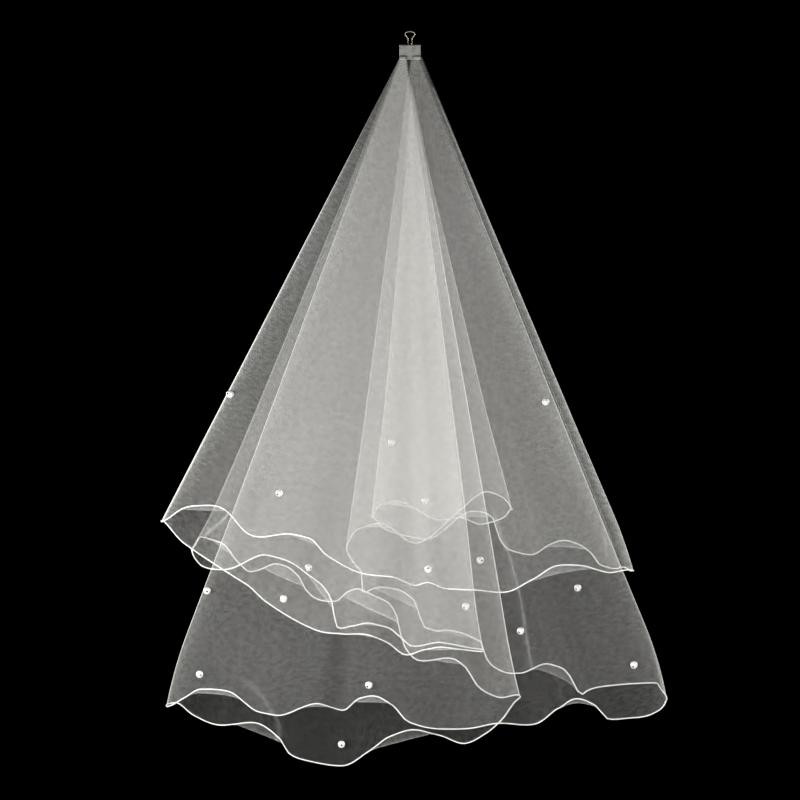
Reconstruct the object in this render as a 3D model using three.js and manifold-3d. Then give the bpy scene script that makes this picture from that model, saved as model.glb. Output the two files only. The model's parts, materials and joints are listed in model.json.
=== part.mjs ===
// A bridal veil: one disc of tulle with a corded hem and scattered pearls,
// pinched off-centre in a small clip and hung up by the clip's wire handle.
// Millimetres, +Z up, +X to the right and +Y away from the viewer. The origin is
// the inside top of the handle's loop, where a hook or a pin carries the veil.

import * as THREE from 'three';
import { mergeVertices } from 'three/addons/utils/BufferGeometryUtils.js';
import Module from 'manifold-3d';

const wasm = await Module();
wasm.setup();

// Clip: a bent spring-steel sheet of the small office size, with one wire handle
const CLIP_WIDTH = 19;
const CLIP_HEIGHT = 13;
const SPINE_DEPTH = 8;
const SPINE_ROUNDING = 1.2;
const SHEET = 0.6;
const LIP_TUBE_LENGTH = 5.5;
const LIP_TUBE_RADIUS = 1.35;
const WIRE_RADIUS = 0.55;
const LOOP_HALF_WIDTH = 4.5;
const LOOP_SHOULDER = 2.3;
const NECK_HALF_WIDTH = 1.9;
const NECK_DROP = 6.3;
const WIRE_BEND = 1.4;
const FOOT_INSET = 1;
const SPINE_DROP = 12.7;
const LIP_DROP = SPINE_DROP + CLIP_HEIGHT;

// Cloth and its trim
const WALL = 1;
const SEAM_GAP = 0.3;
const CORD_RADIUS = 1.2;
const PEARL_RADIUS = 3.5;

// Pinched top: the layers are pressed together at the lips and part below it
const GATHER_DROP = 30;
const GATHER_RISE = 8;
const LIP_PITCH = 0.3;
const GATHER_PITCH = 1.6;
const GATHER_SKIN = 0.4;

// Hanging layers: level 0 is nearest the viewer and level 9 is furthest away
const HEM_PITCH = 22;
const MIDDLE_LEVEL = 4.5;
const RUFFLE_SWING = 8;
const RUFFLE_SHARE_STRAIGHT = 0.35;
const RUFFLE_START = 0.72;
const FOLD_WIDTH_LIMIT = 30;
const TUCK_START = 0.9;
const TUCK_SHARE = 0.15;

// Mesh fineness
const COLUMN_WIDTH = 12;
const TURN_COLUMNS = 3;
const TURN_SHARE = 0.1;
const ROWS = [0, 0.33, 0.62, 0.8, 0.91, 1];
const CORD_SIDES = 6;
const WIRE_SIDES = 8;
const WIRE_STEPS = 64;
const ROUND_SEGMENTS = 6;
const LEAST_COLUMNS = 6;

// Each fold runs straight down from the lips of the clip, and its end may tuck inwards.
// lipX: where it leaves the lips; lean: degrees from plumb; reach: lips to hem; tuck: along x
const FOLDS = {
  leftFront: { lipX: -10, lean: -26.5, reach: 462, tuck: 0 },
  rightOuter: { lipX: 11.8, lean: 22.5, reach: 499, tuck: 0 },
  backLeft: { lipX: 3.2, lean: -5.3, reach: 420, tuck: 0 },
  backRight: { lipX: -4, lean: 13.6, reach: 422, tuck: 0 },
  innerLeft: { lipX: 0.5, lean: -7.6, reach: 446, tuck: 0 },
  lowerRight: { lipX: 8.6, lean: 21.6, reach: 617, tuck: -4.5 },
  lowerLeft: { lipX: -8.4, lean: -20.4, reach: 620, tuck: 6.5 },
  innerRight: { lipX: -3.4, lean: 10.4, reach: 585, tuck: 0 },
  leftWrap: { lipX: -10, lean: -22.7, reach: 478, tuck: 0 },
  rightFront: { lipX: -3.8, lean: 7.7, reach: 533, tuck: 0 },
};

// Each stretch of tulle runs from one fold to the next, round the whole hem.
// ruffles: at, the share of the way across; lift, how far the hem rises there
const STRETCHES = [
  { from: 'leftFront', to: 'rightOuter', level: 0, ruffles: [
    [0.04, 24], [0.1, 35], [0.21, 25], [0.29, 38], [0.37, 26], [0.5, 19], [0.55, 13],
    [0.57, 17], [0.61, 11], [0.73, 6], [0.78, 14], [0.86, 25], [0.95, 11]] },
  { from: 'rightOuter', to: 'backLeft', level: 9, ruffles: [
    [0.08, -5], [0.11, 11], [0.19, 23], [0.35, 5], [0.43, 11], [0.47, 39], [0.54, 40],
    [0.77, -1], [0.94, -7]] },
  { from: 'backLeft', to: 'backRight', level: 8, ruffles: [
    [0.03, 10], [0.18, 18], [0.5, -1], [0.62, 1], [0.78, -9], [0.94, -6]] },
  { from: 'backRight', to: 'innerLeft', level: 7, ruffles: [
    [0.02, 11], [0.16, 26], [0.35, 14], [0.59, -5], [0.82, 19], [0.97, 12]] },
  { from: 'innerLeft', to: 'lowerRight', level: 6, ruffles: [
    [0.05, -9], [0.08, -27], [0.16, -6], [0.26, -1], [0.3, -18], [0.33, -18], [0.38, -7],
    [0.49, -4], [0.51, -20], [0.58, -21], [0.69, 0], [0.74, -5], [0.76, -21], [0.82, -9],
    [0.95, 5], [0.99, 4]] },
  { from: 'lowerRight', to: 'lowerLeft', level: 3, ruffles: [
    [0.01, -8], [0.05, -7], [0.1, -3], [0.14, 5], [0.17, 25], [0.29, 11], [0.34, 19],
    [0.4, 14], [0.51, 24], [0.59, 47], [0.65, 30], [0.7, 37], [0.77, 20], [0.91, 31],
    [0.96, 14]] },
  { from: 'lowerLeft', to: 'innerRight', level: 4, ruffles: [
    [0.06, 4], [0.18, -10], [0.26, 0], [0.37, -25], [0.51, -39], [0.58, -23], [0.7, -7],
    [0.82, -29], [0.89, -23]] },
  { from: 'innerRight', to: 'leftWrap', level: 5, ruffles: [
    [0.05, -7], [0.11, 1], [0.14, 16], [0.19, 22], [0.27, 10], [0.31, 17], [0.34, 47],
    [0.47, 55], [0.54, 32], [0.62, 28], [0.65, 38], [0.73, 35], [0.8, 16], [0.88, 18],
    [0.98, 15]] },
  { from: 'leftWrap', to: 'rightFront', level: 2, ruffles: [
    [0.02, -6], [0.12, -2], [0.25, 32], [0.36, 37], [0.49, 22], [0.55, -5], [0.63, 6],
    [0.73, 2], [0.77, -6], [0.87, 3]] },
  { from: 'rightFront', to: 'leftFront', level: 1, ruffles: [
    [0.12, 0], [0.22, -15], [0.32, -2], [0.45, -15], [0.62, -12], [0.77, -3]] },
];

// Pearls: stretch counts from 1; across and fall are shares of that stretch
const PEARLS = [
  { stretch: 1, across: 0.08, fall: 0.73 },
  { stretch: 4, across: 0.53, fall: 0.915 },
  { stretch: 5, across: 0.54, fall: 0.83 },
  { stretch: 5, across: 0.85, fall: 0.835 },
  { stretch: 6, across: 0.075, fall: 0.505 },
  { stretch: 6, across: 0.09, fall: 0.925 },
  { stretch: 6, across: 0.275, fall: 0.86 },
  { stretch: 6, across: 0.565, fall: 0.985 },
  { stretch: 6, across: 0.92, fall: 0.82 },
  { stretch: 7, across: 0.13, fall: 0.95 },
  { stretch: 7, across: 0.495, fall: 0.97 },
  { stretch: 7, across: 0.815, fall: 0.8 },
  { stretch: 8, across: 0.41, fall: 0.685 },
  { stretch: 8, across: 0.66, fall: 0.97 },
  { stretch: 9, across: 0.225, fall: 0.875 },
  { stretch: 10, across: 0.195, fall: 0.865 },
  { stretch: 10, across: 0.57, fall: 0.98 },
];

// Outline of the pinched top seen from above: the fold and the level at each corner
const GATHER_OUTLINE = [
  { fold: 'leftFront', level: 0 },
  { fold: 'lowerRight', level: 0 },
  { fold: 'rightOuter', level: 2.5 },
  { fold: 'rightOuter', level: 6.5 },
  { fold: 'lowerRight', level: 9 },
  { fold: 'backLeft', level: 9 },
  { fold: 'backLeft', level: 7.5 },
  { fold: 'innerLeft', level: 7.5 },
  { fold: 'innerLeft', level: 5.5 },
  { fold: 'leftWrap', level: 5 },
  { fold: 'leftWrap', level: 1.5 },
  { fold: 'leftFront', level: 1.3 },
];

const finish = (name, color, roughness, metalness) => (
  new THREE.MeshStandardMaterial({ name, color, roughness, metalness })
);
const TULLE = finish('tulle', '#f4f3ee', 0.75, 0);
TULLE.transparent = true;
TULLE.opacity = 0.35;
const SATIN = finish('satin_cord', '#fbfaf6', 0.4, 0);
const PEARL = finish('pearl', '#f3efe6', 0.2, 0);
const LACQUER = finish('clip_sheet', '#c4c4c0', 0.35, 0.6);
const WIRE = finish('clip_wire', '#d8d2c0', 0.25, 1);

const radians = THREE.MathUtils.degToRad;
const lerp = THREE.MathUtils.lerp;
const vector = (x, y, z) => new THREE.Vector3(x, y, z);

// Smooth curve through [at, value] rows that turns only at its crests and troughs
function smoothCurve(rows) {
  const slopes = rows.map((row, i) => {
    if (i === 0 || i === rows.length - 1) {
      return 0;
    }
    const before = (row[1] - rows[i - 1][1]) / (row[0] - rows[i - 1][0]);
    const after = (rows[i + 1][1] - row[1]) / (rows[i + 1][0] - row[0]);
    return before * after > 0 ? (2 * before * after) / (before + after) : 0;
  });
  return (at) => {
    const next = rows.findIndex((row) => row[0] >= at);
    const i = next < 0 ? rows.length - 1 : Math.max(next, 1);
    const [x0, y0] = rows[i - 1];
    const [x1, y1] = rows[i];
    const span = x1 - x0;
    const t = THREE.MathUtils.clamp((at - x0) / span, 0, 1);
    const ease = t * t * (3 - 2 * t);
    const leave = t * (1 - t) * (1 - t) * span * slopes[i - 1];
    const arrive = t * t * (t - 1) * span * slopes[i];
    return lerp(y0, y1, ease) + leave + arrive;
  };
}

// The hem swings towards the viewer at each crest and away at each trough
function swingRows(rows) {
  const turns = rows.slice(1, -1).flatMap(([at, lift], i) => {
    const before = lift - rows[i][1];
    const after = lift - rows[i + 2][1];
    return before * after > 0 ? [[at, -Math.sign(before) * RUFFLE_SWING]] : [];
  });
  return [[0, 0], ...turns, [1, 0]];
}

// A fold lies midway between the levels of the two stretches that it joins
function foldLevel(name) {
  const joined = STRETCHES.filter((stretch) => stretch.from === name || stretch.to === name);
  return (joined[0].level + joined[1].level) / 2;
}

function prepareStretch(stretch) {
  const rows = [[0, 0], ...stretch.ruffles, [1, 0]];
  const from = FOLDS[stretch.from];
  const to = FOLDS[stretch.to];
  const across = (fold) => fold.lipX + fold.reach * Math.sin(radians(fold.lean));
  return {
    ...stretch,
    ends: [from, to],
    endLevels: [foldLevel(stretch.from), foldLevel(stretch.to)],
    lift: smoothCurve(rows),
    swing: smoothCurve(swingRows(rows)),
    hemWidth: Math.abs(across(to) - across(from)),
  };
}

const stretches = STRETCHES.map(prepareStretch);

// Where a share s of the way round a stretch lies: the turn of a fold at each end,
// a quarter of an ellipse, and the flat stretch between. Widths are in millimetres.
function station(stretch, s, pitch, width) {
  const end = s < 0.5 ? 0 : 1;
  const toLevel = stretch.level - stretch.endLevels[end];
  const depthAt = (e) => Math.abs(stretch.level - stretch.endLevels[e]) * pitch;
  const turnWidth = (e) => Math.min(depthAt(e), FOLD_WIDTH_LIMIT);
  const fromEnd = end === 0 ? s : 1 - s;
  const seam = (Math.sign(toLevel) * SEAM_GAP) / 2;
  const foldY = (stretch.endLevels[end] - MIDDLE_LEVEL) * pitch;
  if (fromEnd < TURN_SHARE) {
    const turn = (fromEnd / TURN_SHARE) * (Math.PI / 2);
    const inward = turnWidth(end) * (1 - Math.cos(turn));
    const at = end === 0 ? inward / width : 1 - inward / width;
    const depth = Math.sign(toLevel) * depthAt(end) - seam;
    return { at, y: foldY + seam + depth * Math.sin(turn) };
  }
  const share = (s - TURN_SHARE) / (1 - 2 * TURN_SHARE);
  const at = lerp(turnWidth(0) / width, 1 - turnWidth(1) / width, share);
  return { at, y: (stretch.level - MIDDLE_LEVEL) * pitch };
}

// Where a fold, or any straight line of the cloth between two folds, leaves the pinched top
function gatherX(fold) {
  return fold.lipX + GATHER_DROP * Math.tan(radians(fold.lean));
}

// 1 at a fold, and falling to 0 a short way into the stretch
const nearFold = (at) => Math.max(0, 1 - at / TUCK_SHARE) ** 2;

// The two ends of the straight line of cloth at s: below the pinched top, and at the hem
function clothLine(stretch, s) {
  const [from, to] = stretch.ends;
  const topWidth = Math.abs(gatherX(to) - gatherX(from));
  const above = station(stretch, s, GATHER_PITCH, topWidth);
  const below = station(stretch, s, HEM_PITCH, stretch.hemWidth);
  const lean = radians(lerp(from.lean, to.lean, below.at));
  const reach = lerp(from.reach, to.reach, below.at) - stretch.lift(below.at);
  const lipX = lerp(from.lipX, to.lipX, below.at);
  const top = vector(lerp(gatherX(from), gatherX(to), above.at), above.y, -LIP_DROP - GATHER_DROP);
  const hem = vector(lipX + reach * Math.sin(lean), below.y, -LIP_DROP - reach * Math.cos(lean));
  const tuck = from.tuck * nearFold(below.at) + to.tuck * nearFold(1 - below.at);
  return { top, hem, tuck, swing: stretch.swing(below.at) };
}

// A point of the cloth: s round the stretch, v from the pinched top to the hem
function clothPoint(stretch, s, v) {
  const { top, hem, tuck, swing } = clothLine(stretch, s);
  const point = top.lerp(hem, v);
  point.x += tuck * THREE.MathUtils.smoothstep(v, TUCK_START, 1);
  const ruffle = THREE.MathUtils.smoothstep(v, RUFFLE_START, 1);
  point.y += swing * lerp(ruffle, v, RUFFLE_SHARE_STRAIGHT);
  return point;
}

const NUDGE = 1e-3;

// Directions at a point of the cloth: round the hem, down the cloth, and out of it
function clothFrame(stretch, s, v) {
  const before = clothPoint(stretch, Math.max(s - NUDGE, 0), v);
  const after = clothPoint(stretch, Math.min(s + NUDGE, 1), v);
  const along = after.sub(before).normalize();
  const upper = clothPoint(stretch, s, Math.max(v - NUDGE, 0));
  const lower = clothPoint(stretch, s, Math.min(v + NUDGE, 1));
  const down = lower.sub(upper).normalize();
  const out = along.clone().cross(down).normalize();
  return { along, down, out };
}

// Shares round a stretch where the mesh has a column: close together in the folds
function columns(stretch) {
  const flat = Math.max(LEAST_COLUMNS, Math.round(stretch.hemWidth / COLUMN_WIDTH));
  const turn = Array.from({ length: TURN_COLUMNS }, (unused, i) => (i / TURN_COLUMNS) * TURN_SHARE);
  const middle = Array.from({ length: flat + 1 }, (unused, i) => (
    lerp(TURN_SHARE, 1 - TURN_SHARE, i / flat)
  ));
  return [...turn, ...middle, ...turn.map((s) => 1 - s).reverse()];
}

// Closed body from rings of points, each ring joined to the next and the ends capped
function loft(rings, capTriangles) {
  const size = rings[0].length;
  const index = [];
  for (let i = 0; i + 1 < rings.length; i += 1) {
    for (let j = 0; j < size; j += 1) {
      const a = i * size + j;
      const b = i * size + ((j + 1) % size);
      index.push(a, b, a + size, b, b + size, a + size);
    }
  }
  const last = (rings.length - 1) * size;
  capTriangles.forEach(([a, b, c]) => index.push(a, c, b, last + a, last + b, last + c));
  const geometry = new THREE.BufferGeometry().setFromPoints(rings.flat());
  geometry.setIndex(index);
  return facingOut(geometry);
}

// Turns every face round if the body encloses a negative volume
function facingOut(geometry) {
  const position = geometry.getAttribute('position');
  const index = Array.from(geometry.getIndex().array);
  const corner = (i) => new THREE.Vector3().fromBufferAttribute(position, index[i]);
  let volume = 0;
  for (let i = 0; i < index.length; i += 3) {
    volume += corner(i).dot(corner(i + 1).cross(corner(i + 2)));
  }
  if (volume < 0) {
    for (let i = 0; i < index.length; i += 3) {
      [index[i], index[i + 1]] = [index[i + 1], index[i]];
    }
  }
  geometry.setIndex(index);
  return geometry;
}

// Fan of triangles over a ring of so many points
const fan = (size) => Array.from({ length: size - 2 }, (unused, i) => [0, i + 1, i + 2]);

// Strip of triangles over a ring that runs down one side of a wall and up the other
function wallCap(rows) {
  const triangles = [];
  for (let i = 0; i + 1 < rows; i += 1) {
    const front = i;
    const back = 2 * rows - 1 - i;
    triangles.push([front, front + 1, back], [front + 1, back - 1, back]);
  }
  return triangles;
}

// How far above the hem line each column of a wall ends, so that it clears the cord
function edgeGaps(stretch, shares) {
  const hems = shares.map((s) => clothPoint(stretch, s, 1));
  return shares.map((s, i) => {
    const { down } = clothFrame(stretch, s, 1);
    const neighbours = [hems[i - 1], hems[i + 1]].filter(Boolean);
    const gaps = neighbours.map((neighbour) => {
      const along = neighbour.clone().sub(hems[i]).normalize();
      return (CORD_RADIUS + SEAM_GAP) / along.cross(down).length();
    });
    return Math.max(...gaps);
  });
}

// The panel of one stretch: for each column, its points from the top to the hem
function panelGrid(stretch) {
  const shares = columns(stretch);
  const gaps = edgeGaps(stretch, shares);
  return shares.map((s, i) => {
    const { hem, top } = clothLine(stretch, s);
    const edge = 1 - gaps[i] / hem.distanceTo(top);
    return ROWS.map((row) => {
      const point = clothPoint(stretch, s, row * edge);
      return { point, out: clothFrame(stretch, s, row * edge).out };
    });
  });
}

// A point of a panel moved out to one of its two faces
const onFace = ({ point, out }, side) => point.clone().addScaledVector(out, (side * WALL) / 2);

// One stretch of tulle: a ring round the wall's thickness for each column
function tulleStretch(grid) {
  const rings = grid.map((column) => {
    const front = column.map((place) => onFace(place, -1));
    const back = column.map((place) => onFace(place, 1));
    return [...front, ...back.reverse()];
  });
  return loft(rings, wallCap(ROWS.length));
}

// The hem's cord below one stretch: a round section along the hem line
function hemCord(stretch) {
  const rings = columns(stretch).map((s) => {
    const centre = clothPoint(stretch, s, 1);
    const { along, out } = clothFrame(stretch, s, 1);
    const side = out.clone().cross(along);
    return Array.from({ length: CORD_SIDES }, (unused, i) => {
      const turn = (i / CORD_SIDES) * 2 * Math.PI;
      return centre.clone()
        .addScaledVector(out, CORD_RADIUS * Math.cos(turn))
        .addScaledVector(side, CORD_RADIUS * Math.sin(turn));
    });
  });
  return loft(rings, fan(CORD_SIDES));
}

// A pearl sits on the viewer's side of its panel, on the small facet that it covers
function pearlCentre({ stretch, across, fall }) {
  const shares = columns(stretches[stretch - 1]);
  const i = shares.findIndex((s) => s > across) - 1;
  const j = ROWS.findIndex((row) => row > fall) - 1;
  const u = (across - shares[i]) / (shares[i + 1] - shares[i]);
  const v = (fall - ROWS[j]) / (ROWS[j + 1] - ROWS[j]);
  const grid = panels[stretch - 1];
  const side = grid[i][j].out.y > 0 ? -1 : 1;
  const [a, b] = grid[i].slice(j, j + 2).map((place) => onFace(place, side));
  const [c, d] = grid[i + 1].slice(j, j + 2).map((place) => onFace(place, side));
  const out = d.clone().sub(a).cross(c.clone().sub(b)).normalize();
  const towardsViewer = out.y > 0 ? -1 : 1;
  const seat = a.lerp(b, v).lerp(c.lerp(d, v), u);
  return seat.addScaledVector(out, towardsViewer * (SEAM_GAP + PEARL_RADIUS));
}

// The pinched top: pressed thin in the jaws, opening into the layers below them
function gatheredTop() {
  const heights = [
    { drop: -GATHER_RISE, pitch: LIP_PITCH },
    { drop: 0, pitch: LIP_PITCH },
    { drop: GATHER_DROP / 2, pitch: (LIP_PITCH + GATHER_PITCH) / 2 },
    { drop: GATHER_DROP - SEAM_GAP, pitch: GATHER_PITCH },
  ];
  const rings = heights.map(({ drop, pitch }) => GATHER_OUTLINE.map(({ fold, level }) => {
    const { lipX, lean } = FOLDS[fold];
    const y = (level - MIDDLE_LEVEL) * pitch + Math.sign(level - MIDDLE_LEVEL) * GATHER_SKIN;
    return vector(lipX + Math.max(drop, 0) * Math.tan(radians(lean)), y, -LIP_DROP - drop);
  }));
  const outline = rings[rings.length - 1].map(({ x, y }) => new THREE.Vector2(x, y));
  return loft(rings, THREE.ShapeUtils.triangulateShape(outline, []));
}

// Extrusion across the clip: a profile drawn in depth and height, centred at x
function acrossClip(shape, width, x) {
  const geometry = new THREE.ExtrudeGeometry(shape, {
    depth: width,
    bevelEnabled: false,
    curveSegments: ROUND_SEGMENTS,
  });
  geometry.translate(0, 0, -width / 2);
  const turn = new THREE.Matrix4().makeBasis(vector(0, 1, 0), vector(0, 0, 1), vector(1, 0, 0));
  geometry.applyMatrix4(turn);
  geometry.translate(x, 0, 0);
  return geometry;
}

function solid(geometry) {
  const bare = geometry.clone();
  bare.deleteAttribute('normal');
  bare.deleteAttribute('uv');
  const merged = mergeVertices(bare, 1e-4);
  const mesh = new wasm.Mesh({
    numProp: 3,
    vertProperties: new Float32Array(merged.getAttribute('position').array),
    triVerts: new Uint32Array(merged.getIndex().array),
  });
  return new wasm.Manifold(mesh);
}

function fromSolid(manifold) {
  const { vertProperties, triVerts } = manifold.getMesh();
  const geometry = new THREE.BufferGeometry();
  geometry.setAttribute('position', new THREE.BufferAttribute(new Float32Array(vertProperties), 3));
  geometry.setIndex(Array.from(triVerts));
  return geometry;
}

const gatherHalfDepth = MIDDLE_LEVEL * LIP_PITCH + GATHER_SKIN;
const lipInside = gatherHalfDepth + SEAM_GAP;
const lipTubeY = lipInside + SHEET + LIP_TUBE_RADIUS - SHEET / 2;
const lipTubeZ = -LIP_DROP + LIP_TUBE_RADIUS;

// Clip body: the spine and two jaws of one bent sheet, with four rolled lips
function clipBody() {
  const half = SPINE_DEPTH / 2;
  const flat = half - SPINE_ROUNDING;
  const inside = half - SHEET;
  const top = -SPINE_DROP;
  const under = top - SHEET;
  const shoulder = top - SPINE_ROUNDING;
  const profile = new THREE.Shape();
  profile.moveTo(-lipInside - SHEET, -LIP_DROP);
  profile.lineTo(-half, shoulder);
  profile.quadraticCurveTo(-half, top, -flat, top);
  profile.lineTo(flat, top);
  profile.quadraticCurveTo(half, top, half, shoulder);
  profile.lineTo(lipInside + SHEET, -LIP_DROP);
  profile.lineTo(lipInside, -LIP_DROP);
  profile.lineTo(inside, shoulder);
  profile.quadraticCurveTo(inside, under, flat, under);
  profile.lineTo(-flat, under);
  profile.quadraticCurveTo(-inside, under, -inside, shoulder);
  profile.lineTo(-lipInside, -LIP_DROP);
  profile.closePath();
  let body = solid(acrossClip(profile, CLIP_WIDTH, 0));
  const tubeX = (CLIP_WIDTH - LIP_TUBE_LENGTH) / 2;
  for (const y of [-lipTubeY, lipTubeY]) {
    for (const x of [-tubeX, tubeX]) {
      const tube = new THREE.Shape().absarc(y, lipTubeZ, LIP_TUBE_RADIUS, 0, 2 * Math.PI);
      tube.holes.push(new THREE.Path().absarc(y, lipTubeZ, WIRE_RADIUS + SEAM_GAP, 0, 2 * Math.PI, true));
      body = body.add(solid(acrossClip(tube, LIP_TUBE_LENGTH, x)));
    }
  }
  return fromSolid(body);
}

// The handle stands behind the rear jaw, leaning back just clear of the spine's edge
const handleClearance = WIRE_RADIUS + SEAM_GAP;
const handleLean = Math.atan2(
  SPINE_DEPTH / 2 + handleClearance - lipTubeY,
  -SPINE_DROP - SPINE_ROUNDING - lipTubeZ,
);
const handleLength = (WIRE_RADIUS - lipTubeZ) / Math.cos(handleLean);
const loopSetBack = lipTubeY + handleLength * Math.sin(handleLean);

// Clip handle: a foot in each rear lip, two legs, a neck and the loop above it
function clipHandle() {
  const shoulder = handleLength - LOOP_SHOULDER;
  const loop = [0, 30, 60].map((degrees) => {
    const turn = radians(degrees);
    return [LOOP_HALF_WIDTH * Math.cos(turn), shoulder + LOOP_SHOULDER * Math.sin(turn)];
  });
  const right = [
    [CLIP_WIDTH / 2 - FOOT_INSET, 0],
    [NECK_HALF_WIDTH + WIRE_BEND, 0],
    [NECK_HALF_WIDTH, WIRE_BEND],
    [NECK_HALF_WIDTH, handleLength - NECK_DROP - WIRE_BEND],
    [NECK_HALF_WIDTH, handleLength - NECK_DROP],
    ...loop,
  ];
  const left = right.map(([x, z]) => [-x, z]).reverse();
  const points = [...right, [0, handleLength], ...left].map(([x, z]) => vector(x, 0, z));
  const section = new THREE.Shape().absarc(0, 0, WIRE_RADIUS, 0, 2 * Math.PI);
  return new THREE.ExtrudeGeometry(section, {
    steps: WIRE_STEPS,
    curveSegments: WIRE_SIDES / 2,
    extrudePath: new THREE.CatmullRomCurve3(points, false, 'centripetal'),
  });
}

const panels = stretches.map(panelGrid);
const veil = new THREE.Group();
veil.position.y = -loopSetBack;

function add(name, geometry, material) {
  const mesh = new THREE.Mesh(geometry, material);
  mesh.name = name;
  veil.add(mesh);
  return mesh;
}

const numbered = (name, i) => `${name}_${String(i + 1).padStart(2, '0')}`;

panels.forEach((grid, i) => add(numbered('tulle_stretch', i), tulleStretch(grid), TULLE));
stretches.forEach((stretch, i) => add(numbered('hem_cord', i), hemCord(stretch), SATIN));
PEARLS.forEach((pearl, i) => {
  const mesh = add(numbered('pearl', i), new THREE.IcosahedronGeometry(PEARL_RADIUS, 1), PEARL);
  mesh.position.copy(pearlCentre(pearl));
});
add('gathered_top', gatheredTop(), TULLE);
add('clip_body', clipBody(), LACQUER);
const handle = add('clip_handle', clipHandle(), WIRE);
handle.position.set(0, lipTubeY, lipTubeZ);
handle.rotation.x = -handleLean;

const part = new THREE.Group();
part.add(veil);

export default part;
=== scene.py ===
# %% [markdown]
# # A bridal veil hung from a small clip
# The veil is one disc of white tulle with a corded edge and a few pearls. It is pinched away from its
# centre in a spring clip and hangs by the clip's wire handle, so the disc falls in ten flat stretches
# between ten folds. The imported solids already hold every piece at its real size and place. This lesson
# dresses them: a sheer continuous sheet, a wrapped cord with its stitches, bored pearls and a bent clip.

# %% Load the solids
import json
import math
from collections import namedtuple

import bmesh
import bpy
import numpy as np
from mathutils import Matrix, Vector

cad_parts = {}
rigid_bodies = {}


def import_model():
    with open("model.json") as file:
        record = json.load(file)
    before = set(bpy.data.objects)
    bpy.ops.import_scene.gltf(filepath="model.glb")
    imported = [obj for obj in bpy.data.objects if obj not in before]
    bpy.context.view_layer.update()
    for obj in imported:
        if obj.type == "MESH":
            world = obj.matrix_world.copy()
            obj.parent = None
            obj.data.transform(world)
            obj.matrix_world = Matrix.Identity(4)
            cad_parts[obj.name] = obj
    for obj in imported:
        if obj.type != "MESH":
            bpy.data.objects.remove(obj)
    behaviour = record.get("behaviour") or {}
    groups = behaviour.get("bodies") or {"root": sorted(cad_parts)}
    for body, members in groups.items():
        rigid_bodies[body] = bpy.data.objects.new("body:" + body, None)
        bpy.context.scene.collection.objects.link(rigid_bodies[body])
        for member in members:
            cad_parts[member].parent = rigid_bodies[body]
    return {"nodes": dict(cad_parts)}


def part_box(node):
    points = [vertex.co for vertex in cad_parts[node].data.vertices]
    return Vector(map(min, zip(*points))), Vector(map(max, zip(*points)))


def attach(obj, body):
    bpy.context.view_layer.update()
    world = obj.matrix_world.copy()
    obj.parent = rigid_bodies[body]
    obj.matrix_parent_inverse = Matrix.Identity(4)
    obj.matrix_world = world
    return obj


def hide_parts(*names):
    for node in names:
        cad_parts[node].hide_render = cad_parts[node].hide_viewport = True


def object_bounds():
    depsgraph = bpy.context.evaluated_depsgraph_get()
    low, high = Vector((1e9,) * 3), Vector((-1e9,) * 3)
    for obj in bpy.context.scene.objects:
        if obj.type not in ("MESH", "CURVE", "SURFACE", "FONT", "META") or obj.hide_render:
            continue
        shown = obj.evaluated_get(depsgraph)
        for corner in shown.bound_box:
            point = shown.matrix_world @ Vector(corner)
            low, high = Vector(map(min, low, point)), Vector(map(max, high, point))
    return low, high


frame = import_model()
CAD_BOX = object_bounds()
MM = 0.001
print("solids:", len(frame["nodes"]), "box:", [tuple(round(c, 3) for c in corner) for corner in CAD_BOX])

# %% [markdown]
# ## Camera
# The picture was taken level and from some way off, which keeps the folds almost parallel. The clip is a
# common 19 mm one and it spans 21 pixels, so one pixel is 0.9 mm in the plane of its jaws. With that
# scale and one distance, the lens and the place of the camera follow by similar triangles.

# %% Camera
PHOTO_SIDE = 800
LOOP_TOP_PIXEL = (410, 31)
CLIP_WIDTH = 19
CLIP_WIDTH_PIXELS = 21
LENS_DISTANCE = 2.3
SENSOR_WIDTH = 36


def add_object(name, data):
    thing = bpy.data.objects.new(name, data)
    bpy.context.collection.objects.link(thing)
    return thing


clip_low, clip_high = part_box("clip_body")
jaw_y = (clip_low.y + clip_high.y) / 2
metres_per_pixel = CLIP_WIDTH * MM / CLIP_WIDTH_PIXELS
view_width = PHOTO_SIDE * metres_per_pixel

camera_data = bpy.data.cameras.new("level_camera")
camera = add_object("level_camera", camera_data)
camera.location = (
    (PHOTO_SIDE / 2 - LOOP_TOP_PIXEL[0]) * metres_per_pixel,
    jaw_y - LENS_DISTANCE,
    (LOOP_TOP_PIXEL[1] - PHOTO_SIDE / 2) * metres_per_pixel,
)
camera.rotation_euler = (math.radians(90), 0, 0)
camera_data.sensor_width = SENSOR_WIDTH
camera_data.lens = camera_data.sensor_width * LENS_DISTANCE / view_width
bpy.context.scene.camera = camera
print("lens:", round(camera_data.lens, 1), "mm, view", round(view_width, 3), "m wide")

# %% [markdown]
# ## Light
# White net is seen by the light that its threads scatter, so it needs a dark room and soft lamps. Two
# stand close in front, low down and on either side, which leaves the lower half of the veil brightest.
# Two more stand behind, so that it reads from every side. A ray meets more than ten layers of net on its
# way through, and Cycles has to be told to let it pass them all. A gamma under 1 deepens the dark tones,
# as the camera did.

# %% Lamps and room
# place: metres from the middle of the veil; size: side of the square lamp; watts: its power
LAMPS = {
    "front_left": {"place": (-0.62, -0.68, -0.12), "size": 0.5, "watts": 9.6},
    "front_right": {"place": (0.8, -0.84, -0.1), "size": 0.6, "watts": 9},
    "back_left": {"place": (-1.6, 1.9, 0.6), "size": 1.5, "watts": 50},
    "back_right": {"place": (1.6, 1.9, 0.6), "size": 1.5, "watts": 50},
}
PICTURE_GAMMA = 0.77
ROOM_COLOUR = (0.0003, 0.0003, 0.0003, 1)
MOST_LAYERS = 64

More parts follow.
